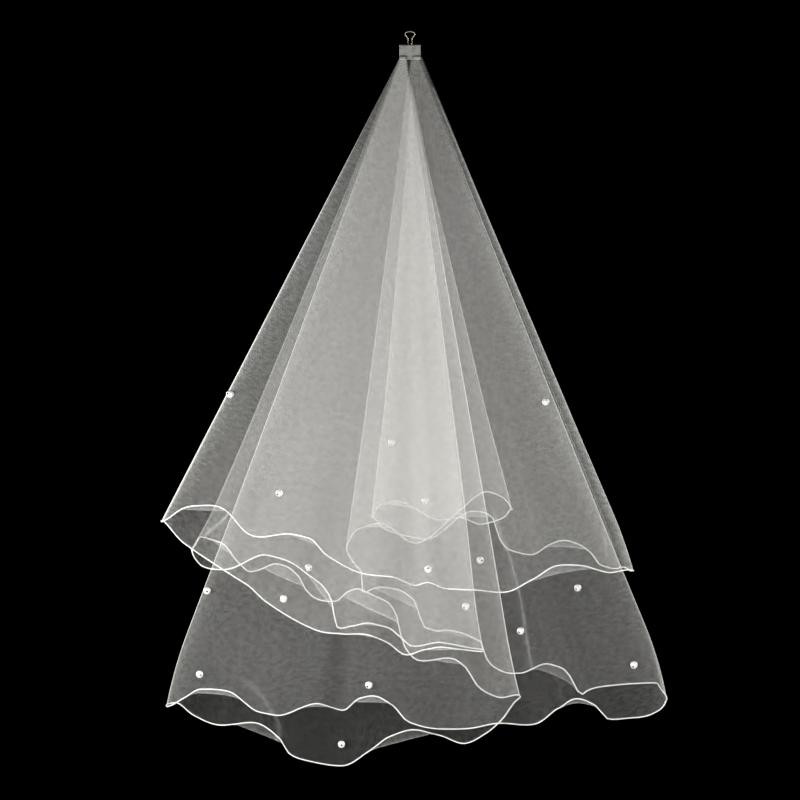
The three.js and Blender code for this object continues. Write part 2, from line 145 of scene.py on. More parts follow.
veil_middle = (CAD_BOX[0] + CAD_BOX[1]) / 2
for name, lamp in LAMPS.items():
    lamp_data = bpy.data.lights.new(name, "AREA")
    lamp_data.size = lamp["size"]
    lamp_data.energy = lamp["watts"]
    lamp_object = add_object(name, lamp_data)
    offset = Vector(lamp["place"])
    lamp_object.location = veil_middle + offset
    lamp_object.rotation_euler = (-offset).to_track_quat("-Z", "Y").to_euler()
    lamp_object.visible_camera = False

room = bpy.data.worlds.new("dark_room")
room.use_nodes = True
room.node_tree.nodes["Background"].inputs["Color"].default_value = ROOM_COLOUR
bpy.context.scene.world = room
bpy.context.scene.view_settings.view_transform = "Standard"
bpy.context.scene.view_settings.gamma = PICTURE_GAMMA
bpy.context.scene.cycles.transparent_max_bounces = MOST_LAYERS
print("lamps:", ", ".join(LAMPS))

# %% [markdown]
# ## Shader sums as Python
# A finish is easier to read as a formula than as a web of nodes. This class wraps one output socket, and
# each arithmetic sign between two of them adds the Math node that it stands for. Any other node comes
# from `node`, which takes the node's type, its settings and what goes into its sockets.

# %% Signals
class Signal:
    def __init__(self, socket):
        self.socket = socket
        self.tree = socket.id_data

    @staticmethod
    def add(tree, kind, settings=None, inputs=None, output=0):
        node = tree.nodes.new(kind)
        for name, value in (settings or {}).items():
            setattr(node, name, value)
        for name, value in (inputs or {}).items():
            if isinstance(value, Signal):
                tree.links.new(value.socket, node.inputs[name])
            else:
                node.inputs[name].default_value = value
        return Signal(node.outputs[output])

    def node(self, kind, settings=None, inputs=None, output=0):
        return Signal.add(self.tree, kind, settings, inputs, output)

    def other_output(self, name):
        return Signal(self.socket.node.outputs[name])

    def math(self, operation, first, second=0.0):
        return self.node("ShaderNodeMath", {"operation": operation}, {0: first, 1: second})

    def __add__(self, other):
        return self.math("ADD", self, other)

    def __radd__(self, other):
        return self.math("ADD", other, self)

    def __sub__(self, other):
        return self.math("SUBTRACT", self, other)

    def __rsub__(self, other):
        return self.math("SUBTRACT", other, self)

    def __mul__(self, other):
        return self.math("MULTIPLY", self, other)

    def __rmul__(self, other):
        return self.math("MULTIPLY", other, self)

    def between(self, low, high):
        settings = {"interpolation_type": "SMOOTHSTEP"}
        inputs = {"Value": self, "From Min": low, "From Max": high}
        return self.node("ShaderNodeMapRange", settings, inputs)

    def blend(self, colour_at_0, colour_at_1):
        inputs = {"Factor": self, 6: colour_at_0, 7: colour_at_1}
        return self.node("ShaderNodeMix", {"data_type": "RGBA"}, inputs, output=2)


print("signals add, subtract and multiply")

# %% [markdown]
# Every finish starts as one Principled shader. What is the same all over is set on its own sockets, and
# what changes over the surface is linked to them.

# %% A new finish
# Most of the cloudy noise lies between these two values, and the inner pair gives it more contrast
GRAIN_SPREAD = (0.3, 0.7)
GRAIN_INNER = (0.35, 0.65)


def new_finish(name):
    material = bpy.data.materials.new(name)
    material.use_nodes = True
    return material, material.node_tree


def set_shader(material, **sockets):
    tree = material.node_tree
    shader = tree.nodes["Principled BSDF"]
    for name, value in sockets.items():
        socket = shader.inputs[name.replace("_", " ")]
        if isinstance(value, Signal):
            tree.links.new(value.socket, socket)
        else:
            socket.default_value = value
    return material


def grain(tree, scale, detail=3.0, stretch=(1, 1, 1), place=None):
    """Cloudy noise from 0 to 1 in object space, or on the given places, drawn out by stretch."""
    where = place or Signal.add(tree, "ShaderNodeTexCoord", output="Object")
    drawn = where.node("ShaderNodeVectorMath", {"operation": "MULTIPLY"}, {0: where, 1: stretch})
    return drawn.node("ShaderNodeTexNoise", None, {"Vector": drawn, "Scale": scale, "Detail": detail})


def point_value(tree, name):
    """A value that a piece keeps at each of its points."""
    return Signal.add(tree, "ShaderNodeAttribute", {"attribute_name": name}, output="Fac")


def bump(height, distance, strength):
    inputs = {"Height": height, "Distance": distance, "Strength": strength}
    return height.node("ShaderNodeBump", None, inputs)


print("finishes start as one Principled shader")

# %% [markdown]
# ## Tulle
# Tulle is a net of fine six-sided holes. At arm's length the holes blur into a thin white haze, so one
# layer hides little and ten layers together look almost solid. Modelling millions of threads is out of
# the question. Three sets of waves, a third of a turn apart, add up to a six-sided net over the flat cut
# of the cloth, and that net drives the opacity. Threads crowd together where the cloth is seen edge-on
# and where it was pressed into a fold, so there the opacity rises. Slow clouds and fine streaks over the
# cut keep the haze from looking even. Just under the clip the layers lie so close that their nets would
# flicker against each other, so the net fades to its own mean there.

# %% Tulle finish
NET_PITCH = 1.3
# The three waves add up to a value from -1.5 to 3, low on the threads and high in the holes
THREAD_BELOW = -1.15
HOLE_ABOVE = -0.1
NET_MEAN = 0.42
NET_FADE = (90, 320)
CUT_SIDE = 1300
CUT_CENTRE = 0.5

HOLE_OPACITY = 0.06
THREAD_OPACITY = 0.115
MOST_OPACITY = 0.9
EVEN_SHARE = 0.6
CLOUD_SHARE = 0.3
STREAK_SHARE = 0.5
PARTING_CLEARS = 0.78
EDGE_ON_GAIN = 3
EDGE_ON_POWER = 4


def tulle_net(tree):
    """1 on a thread and 0 in a hole, over the flat cut, and the places on that cut."""
    cut = Signal.add(tree, "ShaderNodeUVMap", {"uv_map": "cut"})
    x = cut.node("ShaderNodeSeparateXYZ", None, {0: cut}, output="X")
    y = x.other_output("Y")
    per_unit = CUT_SIDE / NET_PITCH * 2 * math.pi
    waves = 0
    for degrees in (0, 120, 240):
        turn = math.radians(degrees)
        along = x * (per_unit * math.cos(turn)) + y * (per_unit * math.sin(turn))
        waves = along.math("COSINE", along) + waves
    net = 1 - waves.between(THREAD_BELOW, HOLE_ABOVE)
    ends = {0: cut, 1: (CUT_CENTRE, CUT_CENTRE, 0)}
    from_clip = cut.node("ShaderNodeVectorMath", {"operation": "DISTANCE"}, ends, output="Value")
    clear = from_clip.between(NET_FADE[0] / CUT_SIDE, NET_FADE[1] / CUT_SIDE)
    return NET_MEAN + (net - NET_MEAN) * clear, cut


def tulle_finish():
    material, tree = new_finish("sheer_tulle")
    net, cut = tulle_net(tree)
    cloud = grain(tree, scale=9, detail=4, place=cut)
    streaks = grain(tree, scale=560, detail=3, stretch=(1, 0.4, 1), place=cut).between(*GRAIN_SPREAD)
    crowding = point_value(tree, "thread_crowding")
    parting = point_value(tree, "parting")
    facing = Signal.add(tree, "ShaderNodeLayerWeight", None, {"Blend": 0.5}, output="Facing")
    haze = HOLE_OPACITY + net * (THREAD_OPACITY - HOLE_OPACITY)
    haze = haze * (EVEN_SHARE + cloud * CLOUD_SHARE + streaks * STREAK_SHARE) * crowding
    edge_on = facing.math("POWER", facing, EDGE_ON_POWER)
    haze = haze * (1 - parting * PARTING_CLEARS) * (1 + edge_on * EDGE_ON_GAIN)
    opacity = haze.math("MINIMUM", haze, MOST_OPACITY)
    colour = cloud.between(*GRAIN_INNER).blend((0.94, 0.935, 0.90, 1), (0.96, 0.957, 0.93, 1))
    return set_shader(material, Base_Color=colour, Alpha=opacity, Roughness=0.6, Sheen_Weight=0.15)


tulle_material = tulle_finish()
print("tulle: net pitch", NET_PITCH, "mm")

# %% [markdown]
# ## Satin cord, thread and pearl
# The edge is a soft cord wrapped in satin thread. The wrapping is a screw of fine ribs, so its height is
# a wave of the length along the cord plus the turn round it. The same wave also paints shade into the
# grooves between the ribs: the colour is darker in each groove and lighter on each rib. Pearls are cream
# under a clear coat, with the cloudy change of tone that nacre has, and the wall of their bore is painted
# dark as shade inside the hole. Behind many layers both look grey in the photo. The thin haze alone leaves
# them too white, so a value called shade, kept at their points, also darkens their tone as painted shade.

# %% Satin, thread and pearl finishes
WRAP_PITCH = 0.7
HEM_LENGTH_GUIDE = 3600


def satin_finish():
    material, tree = new_finish("wrapped_satin")
    run = Signal.add(tree, "ShaderNodeUVMap", {"uv_map": "run"})
    along = run.node("ShaderNodeSeparateXYZ", None, {0: run}, output="X")
    around = along.other_output("Y")
    turns = along * (HEM_LENGTH_GUIDE / WRAP_PITCH) + around
    wrap = turns.math("SINE", turns * (2 * math.pi)) * 0.5 + 0.5
    shade = point_value(tree, "shade")
    # painted shade: the wrap wave makes the grooves between the ribs darker and the ribs lighter
    satin = wrap.blend((0.82, 0.815, 0.795, 1), (0.96, 0.955, 0.935, 1))
    tone = shade.blend(satin, (0.30, 0.297, 0.288, 1))
    rough = 0.32 + grain(tree, scale=400) * 0.2
    ribs = bump(wrap, distance=0.15 * MM, strength=0.6)
    return set_shader(material, Base_Color=tone, Roughness=rough, Normal=ribs, Sheen_Weight=0.3)


def thread_finish():
    material, tree = new_finish("sewing_thread")
    twist = grain(tree, scale=1800, detail=2)
    tone = twist.between(*GRAIN_SPREAD).blend((0.60, 0.595, 0.58, 1), (0.72, 0.715, 0.70, 1))
    return set_shader(material, Base_Color=tone, Roughness=0.55 + twist * 0.2)


def pearl_finish():
    material, tree = new_finish("cream_pearl")
    nacre = grain(tree, scale=260, detail=3)
    bore = point_value(tree, "bore")
    shade = point_value(tree, "shade")
    cream = nacre.between(*GRAIN_INNER).blend((0.83, 0.815, 0.79, 1), (0.90, 0.89, 0.875, 1))
    # painted shade: the points of the bore get a dark tone for the shade inside the hole
    tone = bore.blend(shade.blend(cream, (0.40, 0.395, 0.385, 1)), (0.13, 0.12, 0.105, 1))
    shine = bump(nacre, distance=0.03 * MM, strength=0.25)
    return set_shader(
        material, Base_Color=tone, Roughness=0.16 + nacre * 0.1, Normal=shine,
        Coat_Weight=0.6, Coat_Roughness=0.06,
    )


satin_material = satin_finish()
thread_material = thread_finish()
pearl_material = pearl_finish()
print("trim finishes:", satin_material.name, thread_material.name, pearl_material.name)

# %% [markdown]
# ## Clip finishes
# The clip is spring steel under pale lacquer, a little scuffed, and the handle is bright nickelled wire.

# %% Clip finishes
def lacquer_finish():
    material, tree = new_finish("pale_lacquer")
    scuffs = grain(tree, scale=700, detail=5, stretch=(0.15, 1, 1))
    mottle = grain(tree, scale=220, detail=2)
    tone = mottle.between(*GRAIN_SPREAD).blend((0.33, 0.33, 0.32, 1), (0.45, 0.45, 0.43, 1))
    rough = 0.25 + scuffs * 0.3
    relief = bump(scuffs, distance=0.02 * MM, strength=0.4)
    return set_shader(
        material, Base_Color=tone, Roughness=rough, Normal=relief, Metallic=0.35, Coat_Weight=0.3,
    )


def wire_finish():
    material, tree = new_finish("nickelled_wire")
    drawn = grain(tree, scale=500, detail=4, stretch=(1, 1, 0.2))
    tone = drawn.between(*GRAIN_SPREAD).blend((0.66, 0.60, 0.48, 1), (0.80, 0.75, 0.62, 1))
    return set_shader(material, Base_Color=tone, Roughness=0.3 + drawn * 0.14, Metallic=0.6)


lacquer_material = lacquer_finish()
wire_material = wire_finish()
print("clip finishes:", lacquer_material.name, wire_material.name)

# %% [markdown]
# ## Meshes from arrays
# The cloth, the cord and the stitches are all grids of points, worked out with numpy in millimetres. One
# helper joins neighbouring columns and rows and closes the grid where it runs round. Another makes the
# piece with its slot, attaches it to its body and hides the solids it stands for. A third keeps a
# value at each point, which a finish can read.

# %% Grid pieces
def piece_from_faces(name, points, faces, material, replaced=()):
    mesh = bpy.data.meshes.new(name)
    mesh.from_pydata((np.asarray(points) * MM).tolist(), [], faces)
    mesh.polygons.foreach_set("use_smooth", np.ones(len(mesh.polygons), bool))
    mesh.materials.append(material)
    mesh.update()
    piece = add_object(name, mesh)
    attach(piece, "root")
    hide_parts(*replaced)
    return piece


def grid_faces(columns, rows, around_columns=False, around_rows=False):
    """Quads between neighbouring columns and rows of a grid numbered column by column."""
    index = np.arange(columns * rows).reshape(columns, rows)
    if around_columns:
        index = np.vstack([index, index[:1]])
    if around_rows:
        index = np.hstack([index, index[:, :1]])
    corners = [index[:-1, :-1], index[1:, :-1], index[1:, 1:], index[:-1, 1:]]
    return np.stack([corner.ravel() for corner in corners], axis=1).tolist()


def set_uv(piece, layer, corner_uv):
    uv_layer = piece.data.uv_layers.new(name=layer)
    uv_layer.data.foreach_set("uv", np.asarray(corner_uv, np.float32).ravel())


def set_point_values(piece, name, values):
    kept = piece.data.attributes.new(name, "FLOAT", "POINT")
    kept.data.foreach_set("value", np.asarray(values, np.float32).ravel())


def numbered(name, count):
    return [f"{name}_{i + 1:02d}" for i in range(count)]


print("grid helpers ready")

# %% [markdown]
# ## How the disc hangs
# Each fold is a straight line from the lips of the clip to the hem. Each stretch of cloth runs from one
# fold to the next, on its own level: level 0 is nearest the viewer and level 9 is furthest away. Along
# the hem, a short table gives how far the edge rises at each ruffle. The solids have the same folds and
# levels, with fewer ruffles and slightly other leans and lengths. Two columns belong to the dressed cloth
# alone: how far a fold bows sideways between clip and hem, and how hard it was pressed, which shows as a
# bright line.

# %% Folds
# lip_x: where the fold leaves the lips; lean: degrees from plumb; reach: lips to hem; tuck: along x at
# the hem; bow: along x half way down; press: how sharp the fold is
Fold = namedtuple("Fold", "lip_x lean reach tuck bow press")
FOLDS = {
    "left_front": Fold(-10, -26.55, 462, 0, 0, 4),
    "right_outer": Fold(11.8, 22.3, 498, -4, -0.5, 0.5),
    "back_left": Fold(3.2, -5.3, 420, 0, 2.4, 0.2),
    "back_right": Fold(-4, 13.6, 422, 0, -2.6, 0.5),
    "inner_left": Fold(0.5, -7.6, 446, 0, 1.2, 0.4),
    "lower_right": Fold(8.6, 21.75, 617, -7.5, -1.5, 1.5),
    "lower_left": Fold(-8.4, -20.35, 620, 6, 0.5, 1.6),
    "inner_right": Fold(-3.4, 9.9, 585, 2.5, 1.2, 2),
    "left_wrap": Fold(-10, -22.2, 476, -5, 1.2, 0.8),
    "right_front": Fold(-3.8, 7.1, 532.5, 2.5, 2.2, 0.5),
}
print("folds:", len(FOLDS))

# %% Stretches
# thickness: how thick the net looks, above 1 where it hangs on the bias and its holes are pulled narrow;
# ruffles: (share of the way across, how far the hem rises there)
Stretch = namedtuple("Stretch", "start end level thickness ruffles")
STRETCHES = [
    Stretch("left_front", "right_outer", 0, 1, [
        (0.03, 19), (0.05, 26), (0.11, 36), (0.19, 23), (0.28, 37), (0.315, 38), (0.36, 27),
        (0.45, 17), (0.5, 19), (0.55, 12.5), (0.575, 17), (0.615, 11), (0.66, 11.5), (0.73, 7),
        (0.79, 17), (0.845, 26.5), (0.89, 23), (0.95, 10), (0.98, 8.5), (0.9952, 6.3), (0.9988, 3)]),
    Stretch("right_outer", "back_left", 9, 1, [
        (0.0006, -1.7), (0.0025, -3.5), (0.0085, -6.5), (0.03, -6.5), (0.05, -5), (0.085, -1),
        (0.1, 10), (0.14, 19.5), (0.19, 23), (0.24, 19), (0.34, 5), (0.42, 8), (0.447, 17),
        (0.46, 36), (0.5, 41), (0.54, 40), (0.77, -1.5), (0.94, -6.5)]),
    Stretch("back_left", "back_right", 8, 1, [
        (0.03, 10), (0.18, 18), (0.5, -1), (0.62, 1), (0.78, -9), (0.94, -6)]),
    Stretch("back_right", "inner_left", 7, 1, [
        (0.02, 11), (0.16, 26), (0.35, 14), (0.59, -5), (0.82, 19), (0.97, 12)]),
    Stretch("inner_left", "lower_right", 6, 0.72, [
        (0.004, -3), (0.015, -6), (0.04, -9), (0.069, -11), (0.08, -27), (0.12, -16), (0.16, -7),
        (0.23, 1), (0.26, 0), (0.3, -20), (0.33, -18), (0.38, -9), (0.44, -4), (0.481, -5),
        (0.488, -11), (0.495, -20), (0.515, -25), (0.54, -26), (0.59, -21), (0.69, -1), (0.72, -1),
        (0.736, -6), (0.746, -14), (0.753, -24), (0.78, -17), (0.82, -10), (0.95, 4), (0.985, 6),
        (0.997, 5)]),
    Stretch("lower_right", "lower_left", 3, 1.1, [
        (0.003, -1), (0.012, -4.5), (0.028, -8), (0.05, -9), (0.1, -4), (0.139, 2), (0.15, 15),
        (0.19, 27), (0.225, 21), (0.275, 10), (0.35, 18), (0.4, 14), (0.46, 16), (0.52, 24),
        (0.552, 39), (0.59, 47), (0.62, 43), (0.65, 30), (0.7, 36), (0.78, 20), (0.81, 20),
        (0.88, 32), (0.94, 26), (0.97, 12)]),
    Stretch("lower_left", "inner_right", 4, 0.75, [
        (0.03, 4), (0.09, -4), (0.16, -10), (0.26, -1), (0.33, -12), (0.37, -28), (0.41, -33),
        (0.51, -39), (0.58, -25), (0.63, -13), (0.69, -8), (0.77, -18), (0.84, -30), (0.9, -24),
        (0.94, -16)]),
    Stretch("inner_right", "left_wrap", 5, 1, [
        (0.05, -6), (0.1, 0), (0.115, 8), (0.13, 17), (0.165, 23), (0.27, 10), (0.31, 20),
        (0.335, 47), (0.365, 54), (0.45, 55), (0.495, 46), (0.525, 33), (0.6, 25), (0.63, 28),
        (0.66, 36), (0.695, 38), (0.74, 34), (0.8, 16), (0.83, 10), (0.87, 12), (0.92, 18),
        (0.98, 12), (0.998, 9)]),
    Stretch("left_wrap", "right_front", 2, 1, [
        (0.003, 2.5), (0.013, -1), (0.027, -5), (0.05, -8), (0.12, -1), (0.25, 30), (0.34, 34),
        (0.41, 30), (0.46, 26), (0.495, 19), (0.51, 13), (0.519, 5), (0.528, -4), (0.54, -7),
        (0.58, -2), (0.65, 6), (0.7, 6), (0.745, 0), (0.78, -6), (0.88, 3)]),
    Stretch("right_front", "left_front", 1, 1.45, [
        (0.1, 1), (0.155, -5), (0.21, -14), (0.26, -6), (0.31, -3), (0.385, -10), (0.46, -16),
        (0.62, -10), (0.69, -4), (0.8, -3), (0.91, -5)]),
]
print("stretches:", len(STRETCHES))

# %% [markdown]
# A hem line has to pass through every row of its table without swinging past it. This curve is flat at
# each crest and trough and takes a middling slope elsewhere, so it never overshoots.

# %% Smooth rows
def smooth_curve(rows):
    at, value = np.array(rows, float).T
    rise = np.diff(value) / np.diff(at)
    same_way = rise[:-1] * rise[1:] > 0
    slope = np.zeros(len(at))
    slope[1:-1][same_way] = 2 / (1 / rise[:-1][same_way] + 1 / rise[1:][same_way])

    def curve(x):
        i = np.clip(np.searchsorted(at, x) - 1, 0, len(at) - 2)
        span = at[i + 1] - at[i]
        t = np.clip((x - at[i]) / span, 0, 1)
        leave = t * (1 - t) ** 2 * span * slope[i]
        arrive = t * t * (t - 1) * span * slope[i + 1]
        return value[i] + (value[i + 1] - value[i]) * t * t * (3 - 2 * t) + leave + arrive

    return curve


def hem_rows(stretch):
    """The ruffles of a stretch between its two folds, where the hem rises by nothing."""
    return [(0, 0), *stretch.ruffles, (1, 0)]


def turning_rows(rows, at_crest, at_trough):
    """Rows that hold one value at each crest and another at each trough, and 0 at both folds."""
    turns = []
    for (_, before), (at, lift), (_, after) in zip(rows, rows[1:], rows[2:]):
        if (lift - before) * (lift - after) > 0:
            turns.append((at, at_crest if lift > before else at_trough))
    return [(0, 0), *turns, (1, 0)]


def smoothstep(x, low, high):
    t = np.clip((x - low) / (high - low), 0, 1)
    return t * t * (3 - 2 * t)


print("a ruffle half way up:", round(float(smooth_curve([(0, 0), (0.5, 10), (1, 0)])(0.25)), 2), "mm")

# %% [markdown]
# ## From folds to columns of cloth
# Going round a stretch, the cloth first turns out of one fold, then runs flat, then turns into the next.
# A turn is a quarter of an ellipse, half of the depth between two levels. The same rule serves just below
# the lips, where the levels are close together, and at the hem, where they stand apart.

# %% Columns of cloth
# pitch: how far two levels lie apart, at the lips, where the gathered part ends and at the hem
LIP_DROP = -clip_low.z / MM
LIP_PITCH = 0.3
GATHER_DROP = 30
GATHER_PITCH = 1.6
HEM_PITCH = 22
MIDDLE_LEVEL = 4.5
FOLD_WIDTH_LIMIT = 2
TURN_SHARE = 0.1


def fold_level(name):
    levels = [stretch.level for stretch in STRETCHES if name in (stretch.start, stretch.end)]
    return sum(levels) / 2


def mix(a, b, t):
    return a + (b - a) * t


def station(stretch, s, pitch, width):
    """Share of the way across and depth, for shares s round the stretch."""
    ends = np.array([fold_level(stretch.start), fold_level(stretch.end)])
    depths = np.abs(stretch.level - ends) * pitch
    widths = np.minimum(depths, FOLD_WIDTH_LIMIT) / width
    end = (s > 0.5).astype(int)
    from_end = np.where(end == 0, s, 1 - s)
    turn = np.clip(from_end / TURN_SHARE, 0, 1) * math.pi / 2
    inward = widths[end] * (1 - np.cos(turn))
    flat = mix(widths[0], 1 - widths[1], (s - TURN_SHARE) / (1 - 2 * TURN_SHARE))
    at = np.where(from_end < TURN_SHARE, np.where(end == 0, inward, 1 - inward), flat)
    level = ends[end] + (stretch.level - ends[end]) * np.sin(turn)
    return at, (level - MIDDLE_LEVEL) * pitch


def hem_x(fold):
    return fold.lip_x + fold.reach * math.sin(math.radians(fold.lean))


def gather_x(fold):
    return fold.lip_x + GATHER_DROP * math.tan(math.radians(fold.lean))


def hem_width(stretch):
    return abs(hem_x(FOLDS[stretch.end]) - hem_x(FOLDS[stretch.start]))


print("hem widths:", [round(hem_width(stretch)) for stretch in STRETCHES])

# %% [markdown]
# ## Creases
# Pressed net keeps a few creases besides its folds. Each row below is one of them: a ridge
# that follows a few places down the cloth. The long one on the fifth stretch shows at the lower right of
# the photo and the short sharp one on the ninth at the left loop. Two run all the way down the right edge
# of the first stretch: a sharp line, and beside it a crowded strip without a ridge. Their paths start
# above the clip, because a crease fades in at its start. The hidden stretches get some of the same kind.
# The mesh has extra columns along each narrow ridge, so that its sides are real shape.

# %% Crease rows
# path: (share of the fall, share across); height, half_width: millimetres; haze: how far threads crowd
Crease = namedtuple("Crease", "stretch path height half_width haze")
CREASES = [
    Crease(5, [(0.68, 0.58), (0.77, 0.608), (0.82, 0.63), (0.9, 0.638), (1, 0.63)], 2.0, 1.6, 1.8),
    Crease(9, [(0.895, 0.073), (0.933, 0.043), (0.955, 0.03), (0.97, 0.02)], 1.2, 0.8, 3.5),
    Crease(1, [(-0.3, 0.9953), (1, 0.9953)], 0.3, 0.5, 3.2),
    Crease(1, [(-0.3, 0.993), (1, 0.993)], 0, 6.0, 1.4),
    Crease(1, [(0.92, 0.97), (0.98, 0.952)], 1.2, 1.5, 0.8),
    Crease(7, [(0.94, 0.19), (0.985, 0.285), (1, 0.33)], 2.0, 3.0, 1.0),
    Crease(7, [(0.97, 0.8), (0.98, 0.91)], 1.5, 5.0, 0.25),
    Crease(8, [(0.985, 0.028), (1, 0.047)], 1.2, 1.5, 0.4),
    Crease(1, [(0.45, 0.66), (0.95, 0.65)], 1.3, 4.0, 0.1),
    Crease(2, [(0.5, 0.31), (1, 0.3)], 2.0, 3.0, 0.2),
    Crease(2, [(0.3, 0.62), (0.9, 0.61)], 1.4, 3.5, 0.1),
    Crease(6, [(0.75, 0.225), (1, 0.215)], 2.0, 3.0, 0.15),
    Crease(6, [(0.5, 0.45), (0.93, 0.46)], 1.2, 4.5, 0.1),
    Crease(3, [(0.55, 0.4), (1, 0.42)], 1.6, 3.0, 0.2),
    Crease(4, [(0.6, 0.62), (1, 0.6)], 1.6, 3.0, 0.2),
    Crease(10, [(0.7, 0.39), (1, 0.38)], 1.8, 3.0, 0.15),
]
COLUMN_WIDTH = 3.6
TURN_COLUMNS = 9
CREASE_COLUMN_WIDTH = 0.9
LEAST_COLUMN_WIDTH = 0.4
CREASE_POWER = 1.5
CREASE_FADE_IN = 0.3  # part of the crease's own length
CREASE_FADE_OUT = 0.02  # part of the fall


def column_shares(number, stretch):
    """Shares round a stretch where the mesh has a column; the next stretch supplies the last one."""
    width = hem_width(stretch)
    turn = np.linspace(0, TURN_SHARE, TURN_COLUMNS, endpoint=False)
    flat = np.linspace(TURN_SHARE, 1 - TURN_SHARE, round(width / COLUMN_WIDTH))
    shares = [turn, flat, 1 - turn[1:]]
    at_flat, _ = station(stretch, flat, HEM_PITCH, width)
    for crease in CREASES:
        if crease.stretch == number and crease.half_width < COLUMN_WIDTH:
            across = [place for _, place in crease.path]
            margin = 2 * crease.half_width / width
            low = max(min(across) - margin, at_flat[0])
            high = min(max(across) + margin, at_flat[-1])
            places = np.arange(low, high, CREASE_COLUMN_WIDTH / width)
            shares.append(np.interp(places, at_flat, flat))
    shares = np.sort(np.concatenate(shares))
    apart = np.diff(shares, append=1) * width > LEAST_COLUMN_WIDTH
    return shares[apart]


def crease_mask(crease, at, fall, width):
    """1 along a crease, falling to 0 on both sides of it and at any end that isn't the hem."""
    places, across = np.array(crease.path).T
    off = np.abs(at[:, None] - np.interp(fall, places, across)) * width / crease.half_width
    start = smoothstep(fall, places[0], mix(places[0], places[-1], CREASE_FADE_IN))
    end = 1 - smoothstep(fall, places[-1], places[-1] + CREASE_FADE_OUT) * (places[-1] < 1)
    return np.exp(-off**CREASE_POWER) * start * end


print("columns:", [len(column_shares(i + 1, stretch)) for i, stretch in enumerate(STRETCHES)])

# %% [markdown]
# ## Turned-over edges
# Round the crests of the ruffles the cord is too stiff to follow the net, and the edge folds over towards
# the viewer. That is the pale double band under most crests in the photo. The fold runs almost straight
# from one side of the crest to the other, so each row below only says where it starts and ends.

# %% Turned-over edges
# start, end: shares of the hem width between which the edge is turned over; bow: how far its fold follows
# the crest, from 0 for straight to 1
TurnedEdge = namedtuple("TurnedEdge", "stretch start end bow")
TURNED_EDGES = [
    TurnedEdge(1, 0.026, 0.125, 0.05), TurnedEdge(1, 0.262, 0.34, 0.1), TurnedEdge(1, 0.775, 0.92, 0.3),
    TurnedEdge(2, 0.105, 0.275, 0.25), TurnedEdge(2, 0.46, 0.62, 0.2),
    TurnedEdge(3, 0.08, 0.32, 0.1),
    TurnedEdge(4, 0.03, 0.15, 0.2), TurnedEdge(4, 0.74, 0.92, 0.1),
    TurnedEdge(5, 0.115, 0.278, 0.2), TurnedEdge(5, 0.335, 0.47, 0.1),
    TurnedEdge(5, 0.63, 0.752, 0.35), TurnedEdge(5, 0.91, 0.985, 0.2),
    TurnedEdge(6, 0.146, 0.225, 0.55), TurnedEdge(6, 0.555, 0.632, 0.2),
    TurnedEdge(6, 0.672, 0.735, 0.25), TurnedEdge(6, 0.845, 0.965, 0.5),
    TurnedEdge(7, 0.205, 0.348, 0.15), TurnedEdge(7, 0.574, 0.755, 0.2),
    TurnedEdge(8, 0.137, 0.23, 0.1), TurnedEdge(8, 0.325, 0.51, 0.1),
    TurnedEdge(8, 0.635, 0.785, 0.05), TurnedEdge(8, 0.88, 0.975, 0.1),
    TurnedEdge(9, 0.4, 0.518, 0.1), TurnedEdge(9, 0.59, 0.69, 0.1),
    TurnedEdge(10, 0.05, 0.165, 0.1), TurnedEdge(10, 0.28, 0.36, 0.1),
]
EDGE_LENGTH = 10


def turned_over(number, at, lift, width):
    """How much of the edge is folded up at each share across; below 0 it hangs and nothing is folded."""
    turned = np.full(len(at), -float(EDGE_LENGTH))
    for edge in TURNED_EDGES:
        if edge.stretch == number:
            share = np.clip((at - edge.start) / (edge.end - edge.start), 0, 1)
            fold_line = mix(lift(np.array(edge.start)), lift(np.array(edge.end)), share)
            outside = np.maximum(edge.start - at, at - edge.end) * width
            inside = (1 - edge.bow) * (lift(at) - fold_line)
            turned = np.maximum(turned, np.where(outside > 0, -outside, inside))
    return turned


print("turned-over edges:", len(TURNED_EDGES))

# %% [markdown]
# ## The sheet
# Each column of the sheet runs from inside the jaws, out between the lips, down to the hem. Near the hem
# the ruffles swing it towards the viewer at a crest and away at a trough. The last centimetre is measured
# along the cloth from the fold of a turned-over edge: before the fold it goes down, after it up again and
# a little nearer. The square root of a sum of squares rounds that corner, and threads crowd along it. Slow
# waves keep the stretches from being dead flat.

# %% Sheet of one stretch
# starts and shares are parts of the fall, which is 0 where the gathered part ends and 1 at the hem
JAW_RISE = 6
JAW_SQUEEZE = 0.76
RUFFLE_SWING = 8
RUFFLE_START = 0.72
RUFFLE_SHARE_STRAIGHT = 0.35
TUCK_START = 0.88
TUCK_SHARE = 0.15
BOW_RISE = 0.2
BOW_FALL = 0.7
EDGE_ROUNDING = 0.7
EDGE_STAND_OFF = 2.4
EDGE_END_LENGTH = 3
EDGE_LINE_WIDTH = 0.8
EDGE_LINE_HAZE = 1.2
EDGE_FOLD_SLACK = 0.1
WAVE_HEIGHT = 2.2
WAVES_ACROSS = (2.3, 4.1, 6.7)
WAVES_FROM_FOLD = (8, 40)

JAW_ROWS = np.linspace(1, 0, 3, endpoint=False)
GATHER_ROWS = np.linspace(0, 1, 5, endpoint=False)
FALL_ROWS = np.concatenate([
    np.linspace(0, 0.5, 10, endpoint=False),
    np.linspace(0.5, 0.8, 12, endpoint=False),
    np.linspace(0.8, 1, 40),
])
EDGE_ROWS = np.linspace(0, 1, 6)[1:]
EDGE_END_ROWS = np.linspace(0, 1, 8)[1:]


def slow_waves(number, at):
    phases = np.random.default_rng(number).uniform(0, 2 * math.pi, len(WAVES_ACROSS))
    waves = sum(np.cos(2 * math.pi * n * at + phase) / n for n, phase in zip(WAVES_ACROSS, phases))
    return WAVE_HEIGHT * waves


def tucked(fall):
    return np.clip((fall - TUCK_START) / (1 - TUCK_START), 0, 1) ** 2


